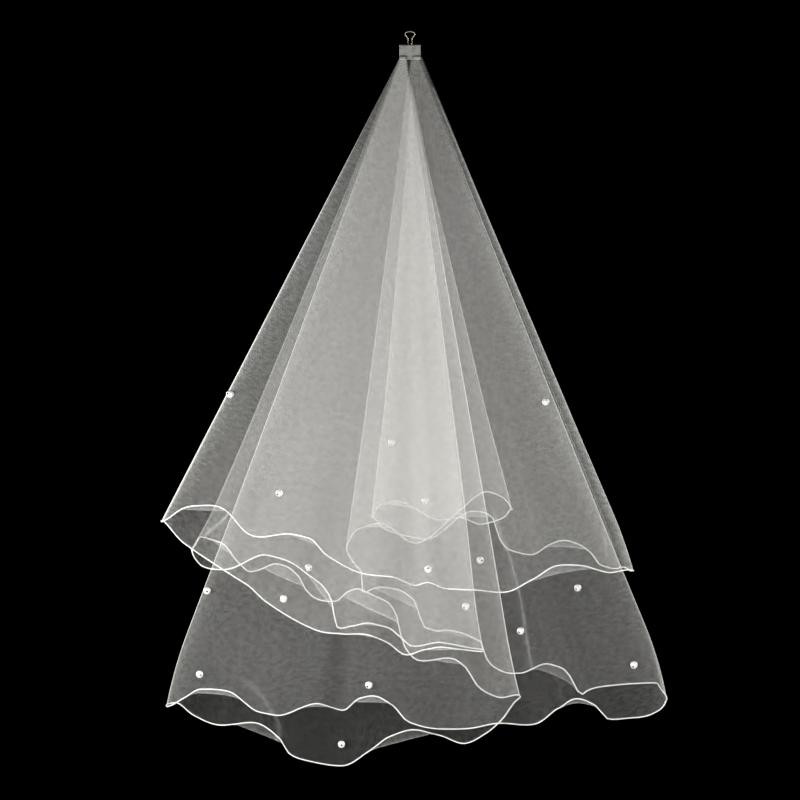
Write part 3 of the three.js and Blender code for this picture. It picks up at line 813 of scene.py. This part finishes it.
def stretch_sheet(number, stretch):
    """Points of one stretch, column by column, and how far threads crowd at its creases and edges."""
    start, end = FOLDS[stretch.start], FOLDS[stretch.end]
    width = hem_width(stretch)
    s = column_shares(number, stretch)
    at, hem_y = station(stretch, s, HEM_PITCH, width)
    gather_at, gather_y = station(stretch, s, GATHER_PITCH, abs(gather_x(end) - gather_x(start)))

    rows = hem_rows(stretch)
    lift = smooth_curve(rows)
    swing = smooth_curve(turning_rows(rows, -RUFFLE_SWING, RUFFLE_SWING))(at)
    turned = turned_over(number, at, lift, width)
    near_folds = [np.maximum(0, 1 - side / TUCK_SHARE) ** 2 for side in (at, 1 - at)]
    tuck = start.tuck * near_folds[0] + end.tuck * near_folds[1]
    off_fold = smoothstep(np.minimum(at, 1 - at) * width, *WAVES_FROM_FOLD)

    lean = np.radians(mix(start.lean, end.lean, at))
    reach = mix(start.reach, end.reach, at) - lift(at)
    hem_side = mix(start.lip_x, end.lip_x, at) + reach * np.sin(lean)
    hem = np.stack([hem_side, hem_y, -LIP_DROP - reach * np.cos(lean)], axis=1)
    gather_side = mix(gather_x(start), gather_x(end), gather_at)
    gather = np.stack([gather_side, gather_y, np.full(len(s), -LIP_DROP - GATHER_DROP)], axis=1)
    lip_y = gather_y * LIP_PITCH / GATHER_PITCH
    lip = np.stack([mix(start.lip_x, end.lip_x, gather_at), lip_y, np.full(len(s), -LIP_DROP)], axis=1)

    fall_length = np.linalg.norm(hem - gather, axis=1)
    down = (hem - gather) / fall_length[:, None]
    first = -np.abs(turned) - EDGE_LENGTH
    last = np.minimum(0, turned - EDGE_END_LENGTH)
    from_fold = np.concatenate([
        first[:, None],
        mix(first[:, None], last[:, None], EDGE_ROWS),
        mix(last[:, None], turned[:, None], EDGE_END_ROWS),
    ], axis=1)
    above_fold = np.hypot(from_fold, EDGE_ROUNDING)
    drop = fall_length[:, None] + above_fold[:, -1:] - above_fold
    stand_off = EDGE_STAND_OFF * (1 + from_fold / above_fold) / 2

    fall = FALL_ROWS * drop[:, :1] / fall_length[:, None]
    body = gather[:, None] + (hem - gather)[:, None] * fall[..., None]
    ruffle = mix(smoothstep(fall, RUFFLE_START, 1), fall, RUFFLE_SHARE_STRAIGHT)
    body[..., 0] += tuck[:, None] * tucked(fall)
    bow = mix(start.bow, end.bow, at)[:, None]
    body[..., 0] += bow * smoothstep(fall, 0, BOW_RISE) * (1 - smoothstep(fall, BOW_FALL, 1))
    body[..., 1] += swing[:, None] * ruffle + (slow_waves(number, at) * off_fold)[:, None] * fall
    haze = np.zeros(body.shape[:2])
    for crease in CREASES:
        if crease.stretch == number:
            mask = crease_mask(crease, at, FALL_ROWS, width)
            body[..., 1] -= crease.height * mask
            haze = np.maximum(haze, crease.haze * mask)

    edge = body[:, -1:] + down[:, None] * (drop[:, 1:] - drop[:, :1])[..., None]
    edge[..., 0] += tuck[:, None] * (tucked(drop[:, 1:] / fall_length[:, None]) - tucked(fall[:, -1:]))
    edge[..., 1] -= stand_off[:, 1:]
    above = lip[:, None] + np.array([0, 0, JAW_RISE]) * JAW_ROWS[None, :, None]
    above[..., 0] *= mix(1, JAW_SQUEEZE, JAW_ROWS)
    opening = lip[:, None] + (gather - lip)[:, None] * GATHER_ROWS[None, :, None]
    points = np.concatenate([above, opening, body, edge], axis=1)
    points[..., 1] += jaw_y / MM
    crowding = np.zeros(points.shape[:2])
    top_rows = len(JAW_ROWS) + len(GATHER_ROWS)
    crowding[:, top_rows:top_rows + len(FALL_ROWS)] = haze
    near_fold = from_fold > -np.abs(turned)[:, None] - EDGE_FOLD_SLACK
    doubled = np.clip(turned / EDGE_END_LENGTH, 0, 1)[:, None] * near_fold
    edge_haze = EDGE_LINE_HAZE * np.exp(-(from_fold / EDGE_LINE_WIDTH) ** 2)
    crowding[:, top_rows + len(FALL_ROWS):] = np.maximum(haze[:, -1:], (doubled * edge_haze)[:, 1:])
    return points, crowding


sheets, crowdings = zip(*[stretch_sheet(i + 1, stretch) for i, stretch in enumerate(STRETCHES)])
columns_in = [len(sheet) for sheet in sheets]
sheet_points = np.concatenate(sheets)
print("sheet grid:", sheet_points.shape[:2])

# %% [markdown]
# ## Pearls pull the net
# A pearl is sewn through its bore, and the thread draws the net against it. So around each pearl the
# nearest patch of its stretch is pulled up to touch it. The places come from the solids.

# %% Dimples under the pearls
PEARL_RADIUS = 3.3
PEARL_COUNT = 17
PEARL_STRETCHES = [1, 4, 5, 5, 6, 6, 6, 6, 6, 7, 7, 7, 8, 8, 9, 10, 10]
DIMPLE_RADIUS = 6

first_column = np.concatenate([[0], np.cumsum(columns_in)])
pearl_nodes = numbered("pearl", PEARL_COUNT)
pearl_centres = []
pearl_axes = []
for node, stretch_number in zip(pearl_nodes, PEARL_STRETCHES):
    low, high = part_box(node)
    centre = np.array((low + high) / 2) / MM
    part = sheet_points[first_column[stretch_number - 1]:first_column[stretch_number]]
    distance = np.linalg.norm(part - centre, axis=2)
    nearest = part[np.unravel_index(distance.argmin(), distance.shape)]
    towards = (centre - nearest) / distance.min()
    from_seat = np.linalg.norm(part - nearest, axis=2)
    pull = (distance.min() - PEARL_RADIUS) * np.exp(-(from_seat / DIMPLE_RADIUS) ** 2)
    part += pull[..., None] * towards
    pearl_centres.append(centre)
    pearl_axes.append(towards)
    print(node, "net pulled by", round(float(distance.min() - PEARL_RADIUS), 1), "mm")

# %% [markdown]
# ## The tulle piece
# All ten stretches share their folds, so the sheet is one closed band of columns. Its texture map is the
# flat cut: each column is laid out round the pinched point at its real length, at an angle that grows
# with the widths along the cloth. The ruffles are fuller than a flat disc, so the angles are scaled to
# one turn. On such a map the net keeps its scale down the cloth and is about a quarter wider across it.
# Two values are kept at each point: how far threads crowd, and the small dark parting under the clip.
# Round a deep fold the net is stretched and thin.

# %% Tulle
# ridge line: the bright line along a pressed fold; ridge glow: the softer band on both sides of it
FOLD_GAIN = 1.6
RIDGE_LINE = 0.7
RIDGE_LINE_WIDTH = 0.8
RIDGE_GLOW = 0.38
RIDGE_GLOW_WIDTH = 6.5
RIDGE_FADE = (15, 220)
FLAT_FOLD_LEVELS = 0.32
WALL_THINNING = 0.6
SEAM_ANGLE_SPARE = 4
PARTING_HALF_WIDTH = 2.2
PARTING_X = -1.0
PARTING_DROP = 14
PARTING_EDGE = (0.6, 1.2)
CLIP_EDGE_ROW = len(JAW_ROWS)
MEASURED_FALL_ROWS = 0.8
ROUND_PART = 0.6

column_count, row_count = sheet_points.shape[:2]
steps = np.linalg.norm(np.diff(sheet_points, axis=1), axis=2)
run = np.concatenate([np.zeros((column_count, 1)), np.cumsum(steps, axis=1)], axis=1)
run -= run[:, CLIP_EDGE_ROW:CLIP_EDGE_ROW + 1]

measured_row = CLIP_EDGE_ROW + len(GATHER_ROWS) + int(MEASURED_FALL_ROWS * len(FALL_ROWS))
ahead = np.roll(sheet_points, -1, axis=0)
radius = np.maximum(run[:, measured_row], 1)
widening = np.linalg.norm((ahead - sheet_points)[:, measured_row], axis=1) / radius
angle = np.concatenate([[0], np.cumsum(widening)])
full_angle = math.radians(360 - SEAM_ANGLE_SPARE)
print("angle of the cut:", round(math.degrees(angle[-1])), "degrees")
angle *= min(1, full_angle / angle[-1])


def cut_uv(columns, column_angle):
    """Places on the flat cut, from 0 to 1, for columns laid out at the given angles."""
    length = np.maximum(run[columns] + JAW_RISE, 0) / CUT_SIDE
    direction = np.stack([np.cos(column_angle), np.sin(column_angle)], axis=1)
    place = direction[:, None] * length[..., None]
    return CUT_CENTRE + place


this_column = np.arange(column_count)
next_column = (this_column + 1) % column_count
left_uv = cut_uv(this_column, angle[:-1])
right_uv = cut_uv(next_column, angle[1:])
corner_uv = np.stack([left_uv[:, :-1], right_uv[:, :-1], right_uv[:, 1:], left_uv[:, 1:]], axis=2)

tulle = piece_from_faces(
    "tulle_disc", sheet_points.reshape(-1, 3), grid_faces(column_count, row_count, around_columns=True),
    tulle_material, [*numbered("tulle_stretch", len(STRETCHES)), "gathered_top"],
)
set_uv(tulle, "cut", corner_uv)

ridge = np.zeros((column_count, row_count))
thickness = np.repeat([float(stretch.thickness) for stretch in STRETCHES], columns_in)
for i, stretch in enumerate(STRETCHES):
    columns = slice(first_column[i], first_column[i + 1])
    share = column_shares(i + 1, stretch)
    ends = [
        (stretch.start, first_column[i], share),
        (stretch.end, first_column[i + 1] % column_count, 1 - share),
    ]
    for fold, fold_column, from_end in ends:
        press = FOLDS[fold].press
        levels = abs(stretch.level - fold_level(fold))
        round_fold = 1 - smoothstep(from_end / TURN_SHARE, ROUND_PART, 1)
        thickness[columns] *= mix(1, (FLAT_FOLD_LEVELS / levels) ** WALL_THINNING, round_fold)
        off_fold = np.abs(sheet_points[columns, :, 0] - sheet_points[fold_column, :, 0])
        ridge[columns] += press * RIDGE_LINE * np.exp(-(off_fold / RIDGE_LINE_WIDTH) ** 2)
        ridge[columns] += press**0.5 * RIDGE_GLOW * np.exp(-off_fold / RIDGE_GLOW_WIDTH)
ridge = np.maximum(ridge * smoothstep(run, *RIDGE_FADE), np.concatenate(crowdings))
crowding = thickness[:, None] * (1 + FOLD_GAIN * ridge)
set_point_values(tulle, "thread_crowding", crowding)

drop = np.clip(-sheet_points[..., 2] - LIP_DROP, 0, PARTING_DROP) / PARTING_DROP
off_parting = np.abs(sheet_points[..., 0] - PARTING_X) / (PARTING_HALF_WIDTH * (1 - drop) + 1e-6)
parting = (1 - smoothstep(off_parting, *PARTING_EDGE)) * (drop < 1)
set_point_values(tulle, "parting", parting)
print("tulle:", len(tulle.data.polygons) * 2, "triangles")

# %% [markdown]
# ## The corded hem
# The cord follows the last row of the sheet all the way round. Rings of points are set square to that
# line at even steps, and a slow unevenness keeps the wrapping from looking machined. For its shade, each
# place of the cord counts the stretches that hang before it. Each pearl does the same further on.

# %% Tubes along a line
def even_steps(points, guides, step):
    """A closed line walked at even steps, with a guide direction at each place, and its length."""
    closed = np.vstack([points, points[:1]])
    closed_guides = np.vstack([guides, guides[:1]])
    place = np.concatenate([[0], np.cumsum(np.linalg.norm(np.diff(closed, axis=0), axis=1))])
    walk = np.linspace(0, place[-1], round(place[-1] / step), endpoint=False)
    line = np.stack([np.interp(walk, place, closed[:, i]) for i in range(3)], axis=1)
    guide = np.stack([np.interp(walk, place, closed_guides[:, i]) for i in range(3)], axis=1)
    return line, guide, place[-1]


def unit(vectors):
    return vectors / np.maximum(np.linalg.norm(vectors, axis=-1, keepdims=True), 1e-9)


def square_frame(line, guide):
    """Directions along a closed line, towards the guide and out to the side."""
    along = unit(np.roll(line, -1, axis=0) - np.roll(line, 1, axis=0))
    side = unit(np.cross(along, guide))
    return along, np.cross(side, along), side


def tube_rings(line, first, second, radius, sides):
    """Rings of points round a line, in the plane of two directions."""
    turn = np.arange(sides) / sides * 2 * math.pi
    radius = np.broadcast_to(radius, (len(line), sides))
    across = np.cos(turn)[None, :, None] * first[:, None] + np.sin(turn)[None, :, None] * second[:, None]
    return line[:, None] + radius[..., None] * across


print("tubes are rings square to a line")

# %% Layers in front
DEEP_LAYERS = 8
LEVEL_CLEARANCE = 0.6
SMOOTHED_STEPS = range(-4, 5)


def layers_before(points):
    """How many stretches hang before each point, smoothed along the row of points."""
    x, y, z = points.T
    level = (y - jaw_y / MM) / HEM_PITCH + MIDDLE_LEVEL
    drop = -LIP_DROP - z
    count = np.zeros(len(points))
    for stretch in STRETCHES:
        start, end = FOLDS[stretch.start], FOLDS[stretch.end]
        sides = [fold.lip_x + drop * math.tan(math.radians(fold.lean)) for fold in (start, end)]
        at = (x - sides[0]) / (sides[1] - sides[0])
        lift = smooth_curve(hem_rows(stretch))(np.clip(at, 0, 1))
        reach = mix(start.reach, end.reach, at) - lift
        lean = np.radians(mix(start.lean, end.lean, at))
        inside = (at > 0) & (at < 1) & (drop / np.cos(lean) < reach)
        count += inside & (stretch.level < level - LEVEL_CLEARANCE)
    return np.mean([np.roll(count, step) for step in SMOOTHED_STEPS], axis=0)


def shade_of(points):
    """0 with nothing in front and 1 behind many layers."""
    return np.clip(layers_before(points) / DEEP_LAYERS, 0, 1)


print("a count of", DEEP_LAYERS, "layers gives the darkest tone")

# %% Hem cord
CORD_RADIUS = 0.6
CORD_STEP = 1.1
CORD_SIDES = 12
# Share of the radius, waves round the whole hem and phase of each slow unevenness
CORD_SWELLS = [(0.03, 173, 0), (0.025, 411, 1)]

hem_line = sheet_points[:, -1]
hem_down = unit(sheet_points[:, -1] - sheet_points[:, -2])
cord_line, cord_guide, cord_length = even_steps(hem_line, hem_down, CORD_STEP)
_, cord_down, cord_side = square_frame(cord_line, cord_guide)
walk = np.arange(len(cord_line)) / len(cord_line) * 2 * math.pi
unevenness = 1 + sum(swell * np.sin(walk * waves + phase) for swell, waves, phase in CORD_SWELLS)
cord_rings = tube_rings(cord_line, cord_down, cord_side, CORD_RADIUS * unevenness[:, None], CORD_SIDES)
hem_cord = piece_from_faces(
    "hem_cord_round", cord_rings.reshape(-1, 3),
    grid_faces(len(cord_line), CORD_SIDES, around_columns=True, around_rows=True),
    satin_material, numbered("hem_cord", len(STRETCHES)),
)
u = np.arange(len(cord_line) + 1) / len(cord_line)
v = np.arange(CORD_SIDES + 1) / CORD_SIDES
corner_u = np.stack([u[:-1], u[1:], u[1:], u[:-1]], axis=1)[:, None].repeat(CORD_SIDES, axis=1)
corner_v = np.stack([v[:-1], v[:-1], v[1:], v[1:]], axis=1)[None].repeat(len(cord_line), axis=0)
set_uv(hem_cord, "run", np.stack([corner_u, corner_v], axis=3))
set_point_values(hem_cord, "shade", np.repeat(shade_of(cord_line), CORD_SIDES))
print("hem cord:", round(cord_length), "mm long")

# %% [markdown]
# A zigzag of fine thread sews the cord to the net. It bites over the cord, then into the net a little
# above it, always on the same face of the cloth.

# %% Hem stitches
STITCH_STEP = 1.3
STITCH_BITE = 1.1
STITCH_OVER = 0.3
THREAD_RADIUS = 0.09
THREAD_SIDES = 5
THREAD_SINKS_IN = 0.95

stitch_line, stitch_guide, _ = even_steps(hem_line, hem_down, STITCH_STEP)
stitch_line = stitch_line[:len(stitch_line) // 2 * 2]
stitch_guide = stitch_guide[:len(stitch_line)]
_, stitch_down, stitch_side = square_frame(stitch_line, stitch_guide)
bites = np.where(np.arange(len(stitch_line)) % 2 == 0, -STITCH_BITE, STITCH_OVER)
lift_off = np.where(bites < 0, THREAD_RADIUS, CORD_RADIUS * THREAD_SINKS_IN)
thread_line = stitch_line + stitch_down * bites[:, None] + stitch_side * lift_off[:, None]
thread_rings = tube_rings(thread_line, stitch_down, stitch_side, THREAD_RADIUS, THREAD_SIDES)
hem_stitches = piece_from_faces(
    "hem_stitches", thread_rings.reshape(-1, 3),
    grid_faces(len(thread_line), THREAD_SIDES, around_columns=True, around_rows=True),
    thread_material,
)
print("stitches:", len(thread_line) // 2)

# %% [markdown]
# ## Pearls
# Each pearl is a ball with a bore. In the photo the dark end of the bore faces the viewer on some of them,
# and here it does so on all. A ball and a bore are one profile turned round an axis, so the profile runs
# over the ball and back through the bore.

# %% Pearls
BORE_RADIUS = 0.75
BORE_ROUNDING = 0.18
PEARL_TURNS = 32
PEARL_ARC_POINTS = 20
PEARL_TILT = 0.25
PEARL_NOD = -0.3
NEVER_THE_AXIS = (0.3, 0.1, 1)


def pearl_profile():
    """Distance from the axis and height along it, over the ball and back, and 1 where that is bore."""
    mouth = math.asin((BORE_RADIUS + BORE_ROUNDING) / PEARL_RADIUS)
    arc = np.linspace(mouth, math.pi - mouth, PEARL_ARC_POINTS)
    ball = np.stack([PEARL_RADIUS * np.sin(arc), PEARL_RADIUS * np.cos(arc)], axis=1)
    depth = math.sqrt(PEARL_RADIUS**2 - BORE_RADIUS**2) - BORE_ROUNDING
    bore = [[BORE_RADIUS, -depth], [BORE_RADIUS, 0], [BORE_RADIUS, depth]]
    return np.vstack([ball, bore]), np.repeat([0.0, 1.0], [len(ball), len(bore)])


def turned_profile(profile, centre, axis, turns):
    """Points of a profile turned round an axis through a centre, ring by ring."""
    side = unit(np.cross(axis, NEVER_THE_AXIS))
    other = np.cross(axis, side)
    angle = np.arange(turns) / turns * 2 * math.pi
    around = np.cos(angle)[:, None] * side + np.sin(angle)[:, None] * other
    return centre + profile[None, :, :1] * around[:, None] + profile[None, :, 1:] * axis


tilts = np.random.default_rng(17).uniform(-PEARL_TILT, PEARL_TILT, (PEARL_COUNT, 3))
tilts[:, 2] += PEARL_NOD
profile, in_bore = pearl_profile()
for node, centre, axis, tilt in zip(pearl_nodes, pearl_centres, pearl_axes, tilts):
    viewer_side = axis * -np.sign(axis[1])
    rings = turned_profile(profile, centre, unit(viewer_side + tilt), PEARL_TURNS)
    faces = grid_faces(PEARL_TURNS, len(profile), around_columns=True, around_rows=True)
    points = rings.reshape(-1, 3)
    pearl = piece_from_faces(f"{node}_bored", points, faces, pearl_material, [node])
    # the bore value carries the painted shade of the hole into the pearl finish
    set_point_values(pearl, "bore", np.tile(in_bore, PEARL_TURNS))
    set_point_values(pearl, "shade", np.repeat(shade_of(centre[None]), len(points)))

# %% [markdown]
# ## The clip
# The body is one strip of spring steel bent into a wedge, with its lips rolled into tubes that hold the
# wire. The profile is drawn once and drawn out to the clip's width. A small bevel takes the edge off, as
# lacquer does.

# %% Clip body
SPINE_DROP = 12.7
SPINE_DEPTH = 8
SPINE_ROUNDING = 1.2
SHEET = 0.6
LIP_INSIDE = 2.05
LIP_TUBE_RADIUS = 1.35
LIP_TUBE_LENGTH = 5.5
WIRE_RADIUS = 0.4
WIRE_GAP = 0.4
BEVEL = 0.12
BEVEL_FROM_ANGLE = 40
SPINE_BEND_POINTS = 7
TUBE_POINTS = 28
lip_tube_y = LIP_INSIDE + SHEET / 2 + LIP_TUBE_RADIUS
lip_tube_z = -LIP_DROP + LIP_TUBE_RADIUS


def arc(y, z, radius, turn):
    """Depth and height of places on a circle, at the given turns."""
    return np.stack([y + radius * np.cos(turn), z + radius * np.sin(turn)], axis=1)


def strip_profile():
    """Depth and height round the bent strip: over its outside, and back along its inside."""
    turn = np.linspace(0, math.pi / 2, SPINE_BEND_POINTS)
    bend = (SPINE_DEPTH / 2 - SPINE_ROUNDING, -SPINE_DROP - SPINE_ROUNDING)
    outer = arc(*bend, SPINE_ROUNDING, turn)
    inner = arc(*bend, SPINE_ROUNDING - SHEET, turn)
    right_outer = np.vstack([[[LIP_INSIDE + SHEET, -LIP_DROP]], outer])
    right_inner = np.vstack([[[LIP_INSIDE, -LIP_DROP]], inner])
    mirror = np.array([-1, 1])
    outside = [right_outer, (right_outer * mirror)[::-1]]
    return np.vstack([*outside, right_inner * mirror, right_inner[::-1]])


def drawn_out(profile, x_low, x_high, hole=None):
    """A closed outline in depth and height drawn out along x; a hole is an outline of as many points."""
    rings = []
    outlines = [(x_low, profile), (x_high, profile)]
    if hole is not None:
        outlines += [(x_high, hole), (x_low, hole)]
    for x, outline in outlines:
        rings.append(np.stack([np.full(len(outline), x), outline[:, 0], outline[:, 1]], axis=1))
    return np.stack(rings)


def circle(y, z, radius):
    return arc(y, z, radius, np.arange(TUBE_POINTS) / TUBE_POINTS * 2 * math.pi)


strip = strip_profile()
strip_rings = drawn_out(strip, -CLIP_WIDTH / 2, CLIP_WIDTH / 2)
count = len(strip)
clip_points = [strip_rings.reshape(-1, 3)]
clip_faces = grid_faces(2, count, around_rows=True)
half_count = count // 2
for side in (0, 1):
    for i in range(half_count - 1):
        a, b = side * count + i, side * count + i + 1
        c, d = side * count + count - 2 - i, side * count + count - 1 - i
        clip_faces.append([a, b, c, d] if side == 0 else [d, c, b, a])

tube_x = (CLIP_WIDTH - LIP_TUBE_LENGTH) / 2
for y in (-lip_tube_y, lip_tube_y):
    for x in (-tube_x, tube_x):
        outer = circle(y, lip_tube_z, LIP_TUBE_RADIUS)
        inner = circle(y, lip_tube_z, WIRE_RADIUS + WIRE_GAP)
        rings = drawn_out(outer, x - LIP_TUBE_LENGTH / 2, x + LIP_TUBE_LENGTH / 2, inner)
        start = sum(len(points) for points in clip_points)
        faces = grid_faces(len(rings), len(outer), around_columns=True, around_rows=True)
        clip_points.append(rings.reshape(-1, 3))
        clip_faces += (np.array(faces) + start).tolist()

clip_points = np.vstack(clip_points) + np.array([0, jaw_y / MM, 0])
clip = piece_from_faces(
    "clip_strip", clip_points, clip_faces, lacquer_material, ["clip_body"])
edges = bmesh.new()
edges.from_mesh(clip.data)
bmesh.ops.recalc_face_normals(edges, faces=edges.faces)
edges.to_mesh(clip.data)
edges.free()
rounding = clip.modifiers.new("edge_rounding", "BEVEL")
rounding.width = BEVEL * MM
rounding.segments = 2
rounding.limit_method = "ANGLE"
rounding.angle_limit = math.radians(BEVEL_FROM_ANGLE)
clip.data.polygons.foreach_set("use_smooth", np.zeros(len(clip.data.polygons), bool))
print("clip body:", len(clip.data.polygons), "faces before the bevel")

# %% [markdown]
# The handle is a length of spring wire: a foot in each rear lip, two legs, a neck and the loop above it.
# A smooth curve through its few bends is swept as a tube. It leans back just clear of the spine.

# %% Clip handle
LOOP_HALF_WIDTH = 4.5
LOOP_SHOULDER = 2.3
NECK_HALF_WIDTH = 1.9
NECK_DROP = 6.3
WIRE_BEND = 1.4
FOOT_INSET = 1
WIRE_SIDES = 14
WIRE_POINTS_PER_BEND = 10

lean_across = SPINE_DEPTH / 2 + WIRE_RADIUS + WIRE_GAP - lip_tube_y
lean_up = -SPINE_DROP - SPINE_ROUNDING - lip_tube_z
handle_lean = math.atan2(lean_across, lean_up)
handle_length = (WIRE_RADIUS - lip_tube_z) / math.cos(handle_lean)


def through_points(points, per_span):
    """A smooth line through points, with bends spaced by the square root of their distance."""
    points = np.vstack([2 * points[0] - points[1], points, 2 * points[-1] - points[-2]])
    line = []
    for p0, p1, p2, p3 in zip(points, points[1:], points[2:], points[3:]):
        t0 = 0
        t1 = t0 + np.linalg.norm(p1 - p0) ** 0.5
        t2 = t1 + np.linalg.norm(p2 - p1) ** 0.5
        t3 = t2 + np.linalg.norm(p3 - p2) ** 0.5
        for t in np.linspace(t1, t2, per_span, endpoint=False):
            a1 = mix(p0, p1, (t - t0) / (t1 - t0))
            a2 = mix(p1, p2, (t - t1) / (t2 - t1))
            a3 = mix(p2, p3, (t - t2) / (t3 - t2))
            b1 = mix(a1, a2, (t - t0) / (t2 - t0))
            b2 = mix(a2, a3, (t - t1) / (t3 - t1))
            line.append(mix(b1, b2, (t - t1) / (t2 - t1)))
    line.append(points[-2])
    return np.array(line)


shoulder = handle_length - LOOP_SHOULDER
right_half = [
    (CLIP_WIDTH / 2 - FOOT_INSET, 0),
    (NECK_HALF_WIDTH + WIRE_BEND, 0),
    (NECK_HALF_WIDTH, WIRE_BEND),
    (NECK_HALF_WIDTH, handle_length - NECK_DROP - WIRE_BEND),
    (NECK_HALF_WIDTH, handle_length - NECK_DROP),
]
for degrees in (0, 30, 60):
    turn = math.radians(degrees)
    right_half.append((LOOP_HALF_WIDTH * math.cos(turn), shoulder + LOOP_SHOULDER * math.sin(turn)))
left_half = [(-x, z) for x, z in reversed(right_half)]
bends = np.array([*right_half, (0, handle_length), *left_half], float)
flat_line = through_points(bends, WIRE_POINTS_PER_BEND)

upright = np.array([0, math.sin(handle_lean), math.cos(handle_lean)])
foot = np.array([0, jaw_y / MM + lip_tube_y, lip_tube_z])
wire_line = foot + flat_line[:, :1] * np.array([1, 0, 0]) + flat_line[:, 1:] * upright
wire_along = unit(np.gradient(wire_line, axis=0))
wire_out = np.cross([1, 0, 0], upright)[None].repeat(len(wire_line), axis=0)
wire_rings = tube_rings(wire_line, wire_out, np.cross(wire_along, wire_out), WIRE_RADIUS, WIRE_SIDES)
wire_faces = grid_faces(len(wire_line), WIRE_SIDES, around_rows=True)
wire_faces.append(list(range(WIRE_SIDES))[::-1])
wire_faces.append(list(range((len(wire_line) - 1) * WIRE_SIDES, len(wire_line) * WIRE_SIDES)))
handle = piece_from_faces(
    "clip_wire_handle", wire_rings.reshape(-1, 3), wire_faces,
    wire_material, ["clip_handle"],
)
print("handle:", round(handle_length, 1), "mm from the lips to its top")

# %% [markdown]
# ## The cloth's cut
# The cut is a disc 1.1 m across.

# %% [markdown]
# ## Floor
# The veil hangs, so the floor lies below it and out of the picture. It is plain and pale.

# %% Floor
FLOOR_DROP = 1.05
FLOOR_HALF = 0.8


def floor_finish():
    material, tree = new_finish("pale_floor")
    wear = grain(tree, scale=6, detail=4)
    tone = wear.between(*GRAIN_SPREAD).blend((0.70, 0.69, 0.67, 1), (0.76, 0.75, 0.73, 1))
    return set_shader(material, Base_Color=tone, Roughness=0.7 + wear * 0.15)


floor_mesh = bpy.data.meshes.new("floor")
corners = [(-1, -1), (1, -1), (1, 1), (-1, 1)]
floor_points = [(x * FLOOR_HALF, y * FLOOR_HALF, -FLOOR_DROP) for x, y in corners]
floor_mesh.from_pydata(floor_points, [], [(0, 1, 2, 3)])
floor_mesh.materials.append(floor_finish())
floor = add_object("floor", floor_mesh)
print("floor:", FLOOR_DROP, "m below the loop")
